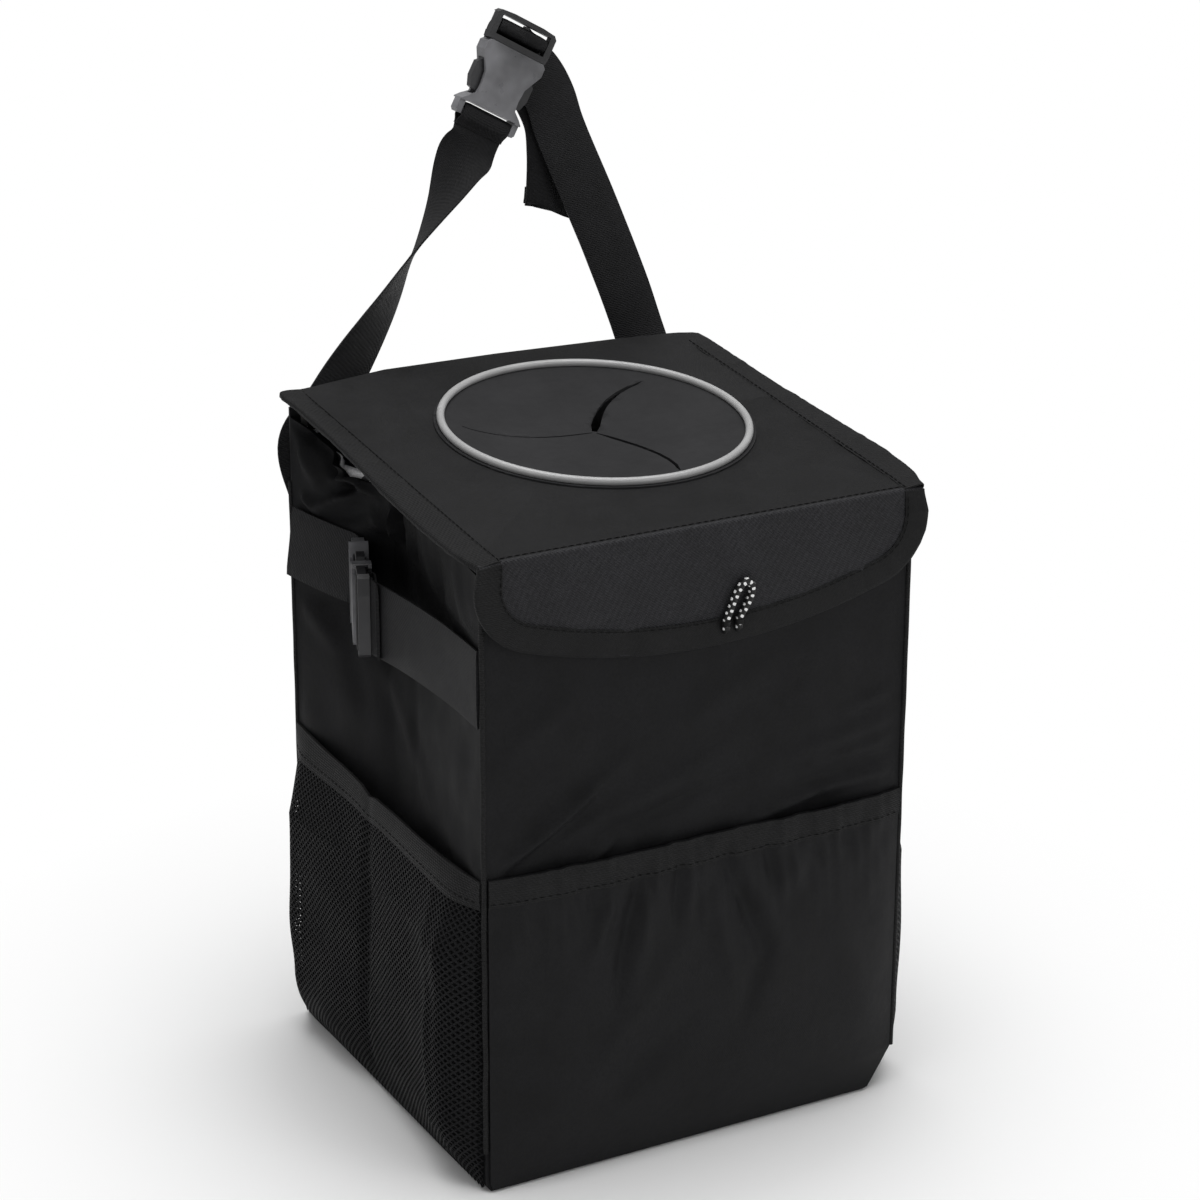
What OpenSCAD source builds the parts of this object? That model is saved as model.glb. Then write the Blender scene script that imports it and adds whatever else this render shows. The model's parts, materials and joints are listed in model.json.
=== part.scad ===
// Hanging car trash bin: a folding cloth box with a hinged lid, a slit rubber inlet,
// three pockets, side compression straps and a buckled hanging strap.
// X runs across the bin, the front faces -Y, and the base stands on Z = 0.

/* [Box] */
// Width of the box across the front
body_w = 200; // [170:1:240]
// Depth of the box, front face to back face
body_d = 184; // [160:1:220]
// Height of the lid's top face at the front edge
front_h = 280; // [250:1:320]
// Slope of the lid, front edge lower, in degrees
lid_tilt = 5.8; // [3:0.1:9]
// Thickness of the cloth panels
cloth_t = 1.2; // [0.8:0.1:1.6]
// Thickness of the stiffening boards in the walls
board_t = 2; // [1.5:0.1:3]
// Thickness of the board in the base
base_board_t = 2.5; // [1.5:0.1:4]
// Thickness of the waterproof liner
liner_t = 0.6; // [0.4:0.1:1]
// Width of the cut at the lower right corner
cut_w = 13; // [6:0.5:18]
// Height of the cut at the lower right corner
cut_h = 19; // [10:0.5:26]
// Width of the cut at the lower left corner
small_cut_w = 2; // [1:0.5:5]
// Height of the cut at the lower left corner
small_cut_h = 4; // [2:0.5:8]

/* [Side folds] */
// Depth of the inward fold of each side at pocket height
fold_low = 4; // [2:0.5:8]
// Depth of the inward fold of each side at the top
fold_high = 24; // [18:0.5:32]
// Distance of the fold behind the middle of the side, at the top
fold_back = 38; // [25:1:50]
// Height by which the liner's hem shows above the rear part of the sides
hem_above = 4; // [2:0.5:8]
// Height of the pale hem inside the liner's mouth
liner_hem_h = 3; // [2:0.5:12]

/* [Pockets] */
// Height of the front pocket's top edge
pocket_h = 143; // [110:1:170]
// Height of the mesh pockets' top edge
mesh_h = 138; // [110:1:165]
// How far the front pocket stands off the wall
pocket_bulge = 7; // [6:0.5:12]
// How far the mesh pockets stand out near the corners
mesh_bulge = 13; // [10:0.5:18]
// How far the mesh pockets stand out at the side's fold
mesh_fold_bulge = 6; // [5:0.5:9]
// Thickness of the pockets' mesh
mesh_t = 0.8; // [0.6:0.1:1.2]
// Height of the elastic hems
hem_h = 12; // [8:0.5:16]
// Thickness of the tapes and hems
tape_t = 0.8; // [0.5:0.1:1.2]
// Height of the gathers under the front pocket's hem
gather = 1.2; // [0.5:0.1:2]
// Number of gathers across the front pocket
gathers = 12; // [6:1:16]

/* [Lid] */
// Overhang of the lid at each side
lid_over = 5.7; // [3:0.1:9]
// Distance of the flap in front of the box
flap_gap = 4; // [3:0.1:8]
// Length of the flap below the lid's top face, in the middle
flap_drop = 53; // [40:1:70]
// Radius of the flap's long lower curve
flap_curve_r = 280; // [200:5:400]
// Radius of the flap's rounded corners
flap_corner_r = 30; // [20:1:40]
// Width of the binding tape round the lid and flap
binding_w = 12; // [8:0.5:16]
// Thickness of the lid's board
lid_board_t = 2; // [1.5:0.1:3]
// Thickness of the lid's lining
lining_t = 0.8; // [0.5:0.1:1.2]

/* [Inlet] */
// Radius of the pale ring
ring_r = 66; // [50:0.5:72]
// Half thickness of the pale ring
bead_r = 1.7; // [1.2:0.1:2.5]
// Distance of the ring's centre right of the middle
ring_x = 7; // [0:0.5:10]
// Place of the ring's centre, front to back, as a share of the lid's depth
ring_place = 0.5623; // [0.5:0.0001:0.58]
// Thickness of the rubber disc
rubber_t = 1.4; // [1:0.1:2]
// Sag of the rubber disc in the middle
rubber_sag = 4; // [2:0.5:6]
// Width of the widest slit at its inner end
slit_w = 4; // [2:0.5:5]

/* [Straps] */
// Width of the hanging webbing
web_w = 25; // [20:1:30]
// Width of the side webbing
side_web_w = 33; // [25:1:38]
// Thickness of the webbing
web_t = 1.4; // [1:0.1:1.8]
// Height of the side buckles' centre line
side_web_z = 225; // [200:1:240]
// Height gained by the side webbing on its way to the rear corner
side_rise = 6.5; // [0:0.5:9]
// Length of a buckle's shell
shell_l = 35; // [30:0.5:42]
// Length of the tongue's frame beyond the shell
frame_l = 14; // [13:0.5:18]
// Thickness of a buckle's shell
shell_t = 8.4; // [8:0.2:11]
// Wall of a buckle's shell
shell_wall = 1.6; // [1.2:0.1:2]
// Extra width of the hanging strap's buckle over its webbing
buckle_over = 7; // [5:0.5:10]
// Extra width of a side buckle over its webbing
side_buckle_over = 4; // [4:0.5:8]
// Diameter of the elastic pull loop
loop_d = 3; // [2:0.1:3.5]

/* [Hidden] */

// Clearance between pieces that don't touch
clear = 0.3;
half_w = body_w / 2;
half_d = body_d / 2;
lid_t = cloth_t + lid_board_t + lining_t;
lid_len = body_d / cos(lid_tilt);
ring_y = lid_len * ring_place;
back_h = front_h + body_d * tan(lid_tilt);
// Inner face of the boards, measured in from the box's faces
wall_in = cloth_t + board_t;
floor_z = cloth_t + base_board_t;
hinge_y = half_d + 1;
hinge_drop = 0.7;
hinge_z = back_h - lid_t / cos(lid_tilt) - hinge_drop;
hinge_r = 0.85;
// Heights of the walls' top edges, under the lid
front_top = lid_under(-half_d) - clear - tape_t;
back_top = hinge_z - hinge_r - clear - tape_t;
rim_h = 10;
rim_groove = wall_in + liner_t + tape_t + clear;
// Height above which the sides' fold moves back and deepens
fold_from = mesh_h;
fold_to = side_web_z - side_web_w / 2;
// Ends of the side strips, inside the front and back panels
side_end = half_d - cloth_t;
mesh_cells_y = 12;
mesh_cells_z = 8;
mesh_hole = 0.32;
flap_y = -half_d - flap_gap;
flap_half = half_w + lid_over;
flap_low = front_h - flap_drop;
slit_r = 57;
flange_w = 3;

// Dark cloth, mesh, rubber and moulding colours
cloth_c = [0.13, 0.13, 0.14];
twill_c = [0.18, 0.18, 0.19];
tape_c = [0.1, 0.1, 0.1];
mesh_c = [0.07, 0.07, 0.08];
board_c = [0.62, 0.55, 0.45];
liner_c = [0.4, 0.41, 0.43];
hem_c = [0.78, 0.79, 0.8];
rubber_c = [0.23, 0.23, 0.24];
ring_c = [0.62, 0.62, 0.62];
plastic_c = [0.3, 0.3, 0.31];
loop_c = [0.06, 0.06, 0.06];

// Height of the lid's underside above a point at depth y
function lid_under(y) = front_h + (y + half_d) * tan(lid_tilt) - lid_t / cos(lid_tilt);

// Share of the way up from the pockets to the side straps, 0 to 1
function rise(z) = min(1, max(0, (z - fold_from) / (fold_to - fold_from)));

// Place and depth of the side's inward fold at height z
function fold_y(z) = fold_back * rise(z);
function fold_x(z) = fold_low * min(1, z / fold_from) + (fold_high - fold_low) * rise(z);

// Width cut off the lower corners at height z
function right_cut(z) = cut_w * max(0, 1 - z / cut_h);
function left_cut(z) = small_cut_w * max(0, 1 - z / small_cut_h);

// Distance of a side strip's outer face inside the box's side plane
function fold_in(y, z) =
    let (k = fold_y(z), share = y > k ? (side_end - y) / (side_end - k) : (side_end + y) / (side_end + k))
    fold_x(z) * pow(max(0, share), 1.15);

// How far the side strips' top edge hangs below the lid, front to back
function side_drop(y) =
    lookup(y / side_end, [
        [-1, 4], [-0.44, 13], [0.22, 19], [0.47, 22], [0.6, 26.5], [0.72, 26.8], [0.83, 26],
        [0.88, 20.7], [0.94, 15.5], [1, 7]
    ]);
function side_top(y) = lid_under(y) - side_drop(y);

// Solid made of a surface of triangles, its twin moved back, and walls along its open edges
module thick(front, back, tris, edges) {
    n = len(front);
    faces = concat(
        tris,
        [for (t = tris) [t[0] + n, t[2] + n, t[1] + n]],
        [for (e = edges) each [[e[1], e[0], e[0] + n], [e[1], e[0] + n, e[1] + n]]]
    );
    polyhedron(concat(front, back), [for (f = faces) [f[0], f[2], f[1]]], convexity = 6);
}

// Solid between front(u, v) and back(u, v), with u and v from 0 to 1
module sheet(nu, nv, front, back) {
    c = nu + 1;
    spots = [for (j = [0:nv], i = [0:nu]) [i / nu, j / nv]];
    tris = [
        for (j = [0:nv - 1], i = [0:nu - 1])
            let (a = j * c + i)
                each [[a, a + 1, a + c + 1], [a, a + c + 1, a + c]]
    ];
    edges = concat(
        [for (i = [0:nu - 1]) [i, i + 1]],
        [for (i = [0:nu - 1]) [nv * c + i + 1, nv * c + i]],
        [for (j = [0:nv - 1]) [(j + 1) * c, j * c]],
        [for (j = [0:nv - 1]) [j * c + nu, (j + 1) * c + nu]]
    );
    thick([for (s = spots) front(s[0], s[1])], [for (s = spots) back(s[0], s[1])], tris, edges);
}

// A sheet with one diamond gap in each cell
module net(nu, nv, hole, front, back) {
    c = nu + 1;
    corners = c * (nv + 1);
    gaps = [
        for (j = [0:nv - 1], i = [0:nu - 1], d = [[0, -1], [1, 0], [0, 1], [-1, 0]])
            [(i + 0.5 + hole * d[0]) / nu, (j + 0.5 + hole * d[1]) / nv]
    ];
    spots = concat([for (j = [0:nv], i = [0:nu]) [i / nu, j / nv]], gaps);
    cells = [
        for (j = [0:nv - 1], i = [0:nu - 1])
            let (a = j * c + i, d = corners + 4 * (j * nu + i))
                [a, a + 1, a + c + 1, a + c, d, d + 1, d + 2, d + 3]
    ];
    tris = [
        for (q = cells)
            each [
                [q[0], q[1], q[4]], [q[1], q[5], q[4]], [q[1], q[2], q[5]], [q[2], q[6], q[5]],
                [q[2], q[3], q[6]], [q[3], q[7], q[6]], [q[3], q[0], q[7]], [q[0], q[4], q[7]]
            ]
    ];
    edges = concat(
        [for (q = cells) each [[q[5], q[4]], [q[6], q[5]], [q[7], q[6]], [q[4], q[7]]]],
        [for (i = [0:nu - 1]) [i, i + 1]],
        [for (i = [0:nu - 1]) [nv * c + i + 1, nv * c + i]],
        [for (j = [0:nv - 1]) [(j + 1) * c, j * c]],
        [for (j = [0:nv - 1]) [j * c + nu, (j + 1) * c + nu]]
    );
    thick([for (s = spots) front(s[0], s[1])], [for (s = spots) back(s[0], s[1])], tris, edges);
}

// Solid through a list of rings of points, closed at both ends or joined into a hoop.
// Past ring turn the triangles lean the other way, so that a double wall stays even
module skin(rings, turn = 1000, hoop = false) {
    n = len(rings[0]);
    last = len(rings) - 1;
    sides = [
        for (k = [0:hoop ? last : last - 1], i = [0:n - 1])
            let (a = k * n + i, b = k * n + (i + 1) % n, c = (k + 1) % (last + 1) * n)
            let (d = c + (i + 1) % n, e = c + i)
                each k < turn ? [[a, b, d], [a, d, e]] : [[a, b, e], [b, d, e]]
    ];
    ends = hoop ? [] : [[for (i = [n - 1:-1:0]) i], [for (i = [0:n - 1]) last * n + i]];
    polyhedron(
        [for (r = rings) each r],
        [for (f = concat(sides, ends)) [for (i = [len(f) - 1:-1:0]) f[i]]],
        convexity = 8
    );
}

// Flat band along rows of [centre, half width vector, half thickness vector]
module band(rows) {
    last = len(rows) - 1;
    sheet(
        1, last,
        function(u, v) let (r = rows[round(v * last)]) r[0] + (2 * u - 1) * r[1] - r[2],
        function(u, v) let (r = rows[round(v * last)]) r[0] + (2 * u - 1) * r[1] + r[2]
    );
}

function unit(v) = v / norm(v);

// Outline of a bent strip: the path's points moved to both sides by half its thickness
function strip_outline(path, t) =
    let (
        last = len(path) - 1,
        dirs = [for (i = [0:last]) unit(path[min(last, i + 1)] - path[max(0, i - 1)])],
        side = [for (d = dirs) [-d[1], d[0]] * t / 2]
    )
    concat([for (i = [0:last]) path[i] + side[i]], [for (i = [last:-1:0]) path[i] - side[i]]);

// Upright panel outline with its two lower corners cut, between two heights
module wall_outline(inset, low, high) {
    polygon([
        [-half_w + inset + left_cut(low), low],
        [half_w - inset - right_cut(low), low],
        [half_w - inset, max(low, cut_h)],
        [half_w - inset, high],
        [-half_w + inset, high],
        [-half_w + inset, max(low, small_cut_h)]
    ]);
}

module wall(y, t, inset, low, high) {
    translate([0, y + t, 0])
        rotate([90, 0, 0])
            linear_extrude(t)
                wall_outline(inset, low, high);
}

module base_panel() {
    color(cloth_c)
        translate([-half_w + small_cut_w, -half_d, 0])
            cube([body_w - small_cut_w - cut_w, body_d, cloth_t]);
}

module front_panel() {
    color(cloth_c) wall(-half_d, cloth_t, 0, cloth_t, front_top);
}

module back_panel() {
    color(cloth_c) wall(half_d - cloth_t, cloth_t, 0, cloth_t, back_top);
}

// Boards stop short of the side strips so that the sides can fold
board_inset = 5;

module front_board() {
    color(board_c) wall(-half_d + cloth_t, board_t, board_inset, floor_z, front_top - 1);
}

module back_board() {
    color(board_c) wall(half_d - wall_in, board_t, board_inset, floor_z, back_top - 1);
}

module base_board() {
    color(board_c)
        translate([-half_w + small_cut_w + board_inset, -side_end, cloth_t])
            cube([body_w - small_cut_w - cut_w - 2 * board_inset, 2 * side_end, base_board_t]);
}

// Heights of the sides' grid rows up to the straps; three more follow the wavy top
side_marks = concat(
    [small_cut_h],
    [for (k = [0:2]) cut_h + (fold_from - cut_h) * k / 3],
    [for (k = [0:4]) fold_from + (fold_to - fold_from) * k / 4]
);
top_rows = 3;
function rows_above(bottom, first) = concat([bottom], [for (m = side_marks) if (m > first) m]);
function row_z(marks, i, top) =
    i < len(marks) ? marks[i] : fold_to + (top - fold_to) * (i - len(marks) + 1) / top_rows;

// Depth coordinate of a grid column, with the middle column always on the fold
function column_y(hand, u, end, z) =
    let (w = hand > 0 ? u : 1 - u, k = fold_y(z))
    w < 0.5 ? -end + (k + end) * 2 * w : k + (end - k) * (2 * w - 1);

// Point of a folded side. hand is -1 on the left and 1 on the right
function side_point(hand, y, z, inset) =
    [hand * (half_w - (hand < 0 ? left_cut(z) : right_cut(z)) - fold_in(y, z) - inset), y, z];

module gusset(hand) {
    marks = rows_above(cloth_t, cloth_t + 0.5);
    rows = len(marks) + top_rows - 1;
    face = function(u, v, inset)
        let (i = round(v * rows), y = column_y(hand, u, side_end, row_z(marks, i, back_h)))
        side_point(hand, y, row_z(marks, i, side_top(y)), inset);
    color(cloth_c)
        sheet(16, rows, function(u, v) face(u, v, 0), function(u, v) face(u, v, cloth_t));
}

module left_gusset() {
    gusset(-1);
}

module right_gusset() {
    gusset(1);
}

// Share of hem_above by which the liner's edge stands above the wavy sides; below 0 it is hidden
function hem_share(y) =
    lookup(y / side_end, [[-1, -1], [0.34, -1], [0.44, 1], [0.74, 1], [0.84, -0.7], [1, -0.7]]);

// Height of the liner's edge, never into the lid
function liner_top(y) =
    min(
        side_top(y) + hem_above * hem_share(y),
        front_top - clear + (y + half_d - rim_groove) * tan(lid_tilt)
    );

// Loop of points round the liner in one grid row, inset from the walls' inner faces
liner_steps = 14;
function liner_ring(inset, marks, i) =
    let (end = half_d - wall_in - inset)
    [
        for (hand = [1, -1], k = [0:liner_steps])
            let (y = column_y(hand, k / liner_steps, end, row_z(marks, i, back_h)))
                side_point(hand, y, row_z(marks, i, liner_top(y)), cloth_t + clear + inset)
    ];
liner_outer = rows_above(floor_z, floor_z + 1.5);
liner_inner = rows_above(floor_z + liner_t, floor_z + 1.5);
liner_last = len(liner_outer) + top_rows - 1;

module liner() {
    color(liner_c)
        skin(concat(
            [for (i = [0:liner_last]) liner_ring(0, liner_outer, i)],
            [for (i = [liner_last:-1:0]) liner_ring(liner_t, liner_inner, i)]
        ), liner_last + 1);
}

// Pale hem inside the liner's mouth
module liner_hem() {
    color(hem_c)
        skin([
            hem_ring(liner_t, liner_hem_h), hem_ring(liner_t, 0),
            hem_ring(liner_t + tape_t, 0), hem_ring(liner_t + tape_t, liner_hem_h)
        ], 2, true);
}

function hem_ring(inset, below) = [
    for (p = liner_ring(inset, liner_inner, liner_last))
        [p[0], p[1], p[2] - below]
];

// Folded tape over a wall's top edge, between the bindings on the lid's sides
rim_half = flap_half - binding_w - clear;
module rim(y, t, top) {
    inside = t + 2 * tape_t;
    color(tape_c)
        translate([-rim_half, y, 0])
            difference() {
                translate([0, -tape_t, top - rim_h])
                    cube([2 * rim_half, inside, rim_h + tape_t]);
                translate([-1, 0, top - rim_h - 1])
                    cube([body_w, t, rim_h + 1]);
            }
}

module front_rim() {
    rim(-half_d, rim_groove, front_top);
}

module back_rim() {
    rim(half_d - rim_groove, rim_groove, back_top);
}

// Sewn ridge along the four upright edges
piping_r = 1.1;
piping_top = front_h - 22;
module corner_piping() {
    color(tape_c)
        for (sx = [-1, 1], sy = [-1, 1])
            difference() {
                translate([sx * half_w, sy * half_d, cut_h])
                    cylinder(h = piping_top - cut_h, r = piping_r, $fn = 24);
                translate([-half_w, -half_d, 0])
                    cube([body_w, body_d, back_h]);
            }
}

// Rolled cloth edge on the hinge line, with the strip sewn to the back
hinge_strip_h = 12;
hinge_strip_t = 0.5;
module hinge_roll() {
    color(tape_c) {
        translate([-rim_half, hinge_y, hinge_z])
            rotate([0, 90, 0])
                cylinder(h = 2 * rim_half, r = hinge_r, $fn = 32);
        translate([-rim_half, half_d + tape_t, hinge_z - hinge_strip_h])
            cube([2 * rim_half, hinge_strip_t, hinge_strip_h]);
    }
}

// Distance of the front pocket in front of the wall
function pocket_off(u, z) =
    let (
        s = 2 * u - 1,
        up = min(1, (z - cloth_t) / 45),
        top = max(0, (z - pocket_h + 60) / 60),
        wave = gather * top * top * (1 - pow(s, 8)) * sin(360 * gathers * u)
    )
    (pocket_bulge - 1.2 * top) * (1 - pow(s, 6)) * sin(90 * up) + wave / 2 * sin(90 * up);

function pocket_point(u, z, t) =
    let (side = half_w - piping_r - clear, x = (left_cut(z) - side) * (1 - u) + (side - right_cut(z)) * u)
    [x, -half_d - pocket_off(u, z) - t, z];

pocket_cols = 4 * gathers;
pocket_rows = [0, 0.03, 0.1, 0.2, 0.32, 0.5, 0.66, 0.8, 0.915, 1];
function pocket_z(v) = cloth_t + (pocket_h - cloth_t) * pocket_rows[round(v * (len(pocket_rows) - 1))];

module front_pocket() {
    rows = len(pocket_rows) - 1;
    color(cloth_c)
        sheet(
            pocket_cols, rows,
            function(u, v) pocket_point(u, pocket_z(v), cloth_t),
            function(u, v) pocket_point(u, pocket_z(v), 0)
        );
}

module front_pocket_hem() {
    low = pocket_rows[len(pocket_rows) - 2];
    bottom = cloth_t + (pocket_h - cloth_t) * low;
    color(tape_c)
        sheet(
            pocket_cols, 1,
            function(u, v) pocket_point(u, bottom + (pocket_h - bottom) * v, cloth_t + tape_t),
            function(u, v) pocket_point(u, bottom + (pocket_h - bottom) * v, cloth_t)
        );
}

// Distance of a mesh pocket's outer face outside the box's side plane
function mesh_off(y, z) =
    let (
        s = min(1, abs(y) / side_end),
        body = s < 0.8
            ? mesh_fold_bulge + (mesh_bulge - mesh_fold_bulge) * pow(s / 0.8, 1.5)
            : mesh_bulge * sin(90 * (1 - s) / 0.2),
        hem = mesh_fold_bulge * (1 - pow(s, 6)),
        down = min(1, (mesh_h - z) / 35),
        low = min(1, (z - cloth_t) / 30)
    )
    (hem * (1 - down) + body * down) * sin(90 * low) + mesh_t;

function mesh_point(hand, u, z, t) =
    let (y = hand * side_end * (2 * u - 1), cut = hand < 0 ? 0 : right_cut(z))
    [hand * (half_w - cut + mesh_off(y, z) + t), y, z];

// Height of a net row: the first one ends at the corner cut
function mesh_z(v) =
    let (k = v * mesh_cells_z)
    k < 1
        ? cloth_t + (cut_h - cloth_t) * k
        : cut_h + (mesh_h - hem_h - cut_h) * (k - 1) / (mesh_cells_z - 1);

module mesh_pocket(hand) {
    color(mesh_c)
        net(
            mesh_cells_y, mesh_cells_z, mesh_hole,
            function(u, v) mesh_point(hand, u, mesh_z(v), 0),
            function(u, v) mesh_point(hand, u, mesh_z(v), -mesh_t)
        );
}

module mesh_hem(hand) {
    color(tape_c)
        sheet(
            mesh_cells_y, 2,
            function(u, v) mesh_point(hand, u, mesh_h - hem_h * (1 - v), tape_t / 2),
            function(u, v) mesh_point(hand, u, mesh_h - hem_h * (1 - v), -mesh_t)
        );
}

module left_mesh_pocket() {
    mesh_pocket(-1);
}

module left_mesh_hem() {
    mesh_hem(-1);
}

module right_mesh_pocket() {
    mesh_pocket(1);
}

module right_mesh_hem() {
    mesh_hem(1);
}

// Puts a flat shape in the lid's top plane, with Y running back from the front edge
module on_lid() {
    translate([0, -half_d, front_h])
        rotate([lid_tilt, 0, 0])
            children();
}

// Flat plate in the lid, its top a given depth below the lid's top face
module lid_plate(depth, t, side, rear = tape_t, front = 0) {
    on_lid()
        translate([-flap_half + side, -front, -depth - t])
            cube([2 * (flap_half - side), lid_len + front - rear, t]);
}

// Hole for the rubber inlet
module inlet_hole() {
    on_lid()
        translate([ring_x, ring_y, -lid_t - 1])
            cylinder(h = lid_t + 2, r = ring_r - flange_w + clear, $fn = 96);
}

module lid_cover() {
    color(cloth_c)
        difference() {
            lid_plate(0, cloth_t, tape_t, front = flap_gap - tape_t);
            inlet_hole();
        }
}

// The board ends inside the soft, thin edges at the lid's sides
edge_t = cloth_t + lining_t;
board_edge = binding_w + 3;
board_rear = tape_t + 3;
module lid_board() {
    color(board_c)
        difference() {
            lid_plate(cloth_t, lid_board_t, board_edge, board_rear);
            inlet_hole();
        }
}

// The lining lies against the cover at the sides and steps down under the board
module lid_lining() {
    outer = flap_half - tape_t;
    step_out = flap_half - binding_w - clear;
    step_in = flap_half - board_edge + clear;
    color(cloth_c)
        difference() {
            on_lid()
                translate([0, lid_len - tape_t, 0])
                    rotate([90, 0, 0])
                        linear_extrude(lid_len - tape_t)
                            polygon([
                                [-outer, -cloth_t], [-outer, -edge_t], [-step_out, -edge_t],
                                [-step_in, -lid_t], [step_in, -lid_t],
                                [step_out, -edge_t], [outer, -edge_t], [outer, -cloth_t]
                            ]);
            lid_plate(cloth_t - 1, lid_board_t + 1, board_edge, board_rear, 1);
            inlet_hole();
        }
}

// Flap outline seen from the front: a long curve between two rounded corners
module flap_outline(inset) {
    r = flap_corner_r - inset;
    corner = [flap_half - flap_corner_r, flap_corner_z()];
    tilt = asin((flap_half - flap_corner_r) / (flap_curve_r - flap_corner_r));
    top = front_h - cloth_t;
    polygon(concat(
        [[-flap_half + inset, top], [-flap_half + inset, corner[1]]],
        [
            for (k = [1:5])
                let (a = 180 + (90 - tilt) * k / 5)
                    [-corner[0] + r * cos(a), corner[1] + r * sin(a)]
        ],
        [
            for (k = [-5:5])
                let (a = 270 + tilt * k / 6, c = flap_low + flap_curve_r)
                    [(flap_curve_r - inset) * cos(a), c + (flap_curve_r - inset) * sin(a)]
        ],
        [
            for (k = [5:-1:1])
                let (a = 360 - (90 - tilt) * k / 5)
                    [corner[0] + r * cos(a), corner[1] + r * sin(a)]
        ],
        [[flap_half - inset, corner[1]], [flap_half - inset, top]]
    ));
}

// Height of the corner arcs' centres, where they meet the long curve
function flap_corner_z() =
    flap_low + flap_curve_r
        - sqrt(pow(flap_curve_r - flap_corner_r, 2) - pow(flap_half - flap_corner_r, 2));

module flap_plate(y, t, inset) {
    translate([0, y + t, 0])
        rotate([90, 0, 0])
            linear_extrude(t)
                flap_outline(inset);
}

module lid_flap() {
    color(twill_c) flap_plate(flap_y - cloth_t, cloth_t, tape_t);
}

// Tape folded round the flap's edge and the lid's sides, with the pull loop's two seats
module lid_binding() {
    color(tape_c) {
        difference() {
            flap_plate(flap_y - cloth_t - tape_t, cloth_t + 2 * tape_t, 0);
            flap_plate(flap_y - cloth_t - 5, cloth_t + 10, binding_w);
            flap_plate(flap_y - cloth_t, cloth_t, tape_t);
            translate([-flap_half - 1, flap_y - 10, front_h - cloth_t - 1])
                cube([2 * flap_half + 2, 20, 5]);
        }
        for (s = [-1, 1])
            on_lid()
                difference() {
                    translate([s * (flap_half - binding_w / 2) - binding_w / 2, -flap_gap, -edge_t - tape_t])
                        cube([binding_w, lid_len + flap_gap, edge_t + 2 * tape_t]);
                    translate([-flap_half + tape_t, -flap_gap - 1, -edge_t])
                        cube([2 * (flap_half - tape_t), lid_len + flap_gap + 2, edge_t]);
                }
        for (x = loop_feet)
            translate([x, loop_seat_y, loop_foot_z - seat_h])
                cylinder(h = seat_h, r = loop_d / 2 + seat_wall, $fn = 24);
    }
}

// A swirl slit's outline: it starts wide near the middle and bends as it runs out
slit_start = 58;
slit_bend = 18;
slit_tip = 0.35;
function slit_angle(r) = slit_start - slit_bend * pow(r / slit_r, 2);
function slit_half(r, w) =
    (slit_tip + (w / 2 - slit_tip) * pow(1 - r / slit_r, 1.2)) * min(1, r / 5 + 0.4);
module slit(w) {
    steps = 8;
    rs = [for (k = [0:steps]) 1 + (slit_r - 1) * k / steps];
    polygon(concat(
        [for (r = rs) r * [cos(slit_angle(r)), sin(slit_angle(r))]
            + slit_half(r, w) * [-sin(slit_angle(r)), cos(slit_angle(r))]],
        [for (k = [steps:-1:0]) let (r = rs[k]) r * [cos(slit_angle(r)), sin(slit_angle(r))]
            - slit_half(r, w) * [-sin(slit_angle(r)), cos(slit_angle(r))]]
    ));
}

// Depth of the rubber's top face at radius r
function dish(r) = -rubber_sag * (1 - pow(r / (ring_r - flange_w), 2));

module inlet_rubber() {
    inner = ring_r - flange_w;
    outer = ring_r + flange_w;
    steps = [0, 0.25, 0.45, 0.65, 0.85, 1];
    color(rubber_c)
        on_lid()
            translate([ring_x, ring_y, 0])
                difference() {
                    rotate_extrude($fn = 96)
                        polygon(concat(
                            [for (s = steps) [s * inner, dish(s * inner) - rubber_t + 0.1]],
                            [[inner, 0], [outer, 0], [outer, tape_t], [inner, tape_t]],
                            [for (k = [len(steps) - 2:-1:0]) [steps[k] * inner, dish(steps[k] * inner) + 0.1]]
                        ));
                    for (k = [0:2])
                        rotate([0, 0, 120 * k])
                            translate([0, 0, -rubber_sag - 5])
                                linear_extrude(rubber_sag + 10)
                                    slit(k == 0 ? slit_w : 1);
                }
}

module inlet_ring() {
    color(ring_c)
        on_lid()
            translate([ring_x, ring_y, 0])
                rotate_extrude($fn = 96)
                    intersection() {
                        translate([ring_r, bead_r + tape_t - 0.4]) circle(r = bead_r, $fn = 24);
                        translate([ring_r - 5, tape_t]) square([10, 10]);
                    }
}

// Elastic pull loop: both ends stand in the binding, and the loop leans on the flap
loop_feet = [7, 13.1];
loop_foot_z = flap_low + 11;
seat_h = 5;
seat_wall = 0.5;
loop_seat_y = flap_y - cloth_t - tape_t - loop_d / 2 - 0.05;
loop_run = [
    [7, 0], [8.2, 2.9], [9.4, 5.8], [10.6, 8.8], [12.1, 11.7], [13.9, 14.1], [15.8, 15.3],
    [17.6, 15], [18.7, 13.2], [18.8, 10.7], [17.9, 7.9], [16.4, 5.2], [14.7, 2.6], [13.1, 0]
];

module pull_loop() {
    path = [for (p = loop_run) [p[0], loop_seat_y, loop_foot_z + p[1]]];
    last = len(path) - 1;
    color(loop_c)
        skin([
            for (i = [0:last])
                let (
                    d = i == 0 || i == last ? [0, 0, i == 0 ? 1 : -1] : unit(path[i + 1] - path[i - 1]),
                    n = [d[2], 0, -d[0]]
                )
                [for (k = [0:7]) path[i] + loop_d / 2 * (cos(45 * k) * n + sin(45 * k) * [0, 1, 0])]
        ]);
}

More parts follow.
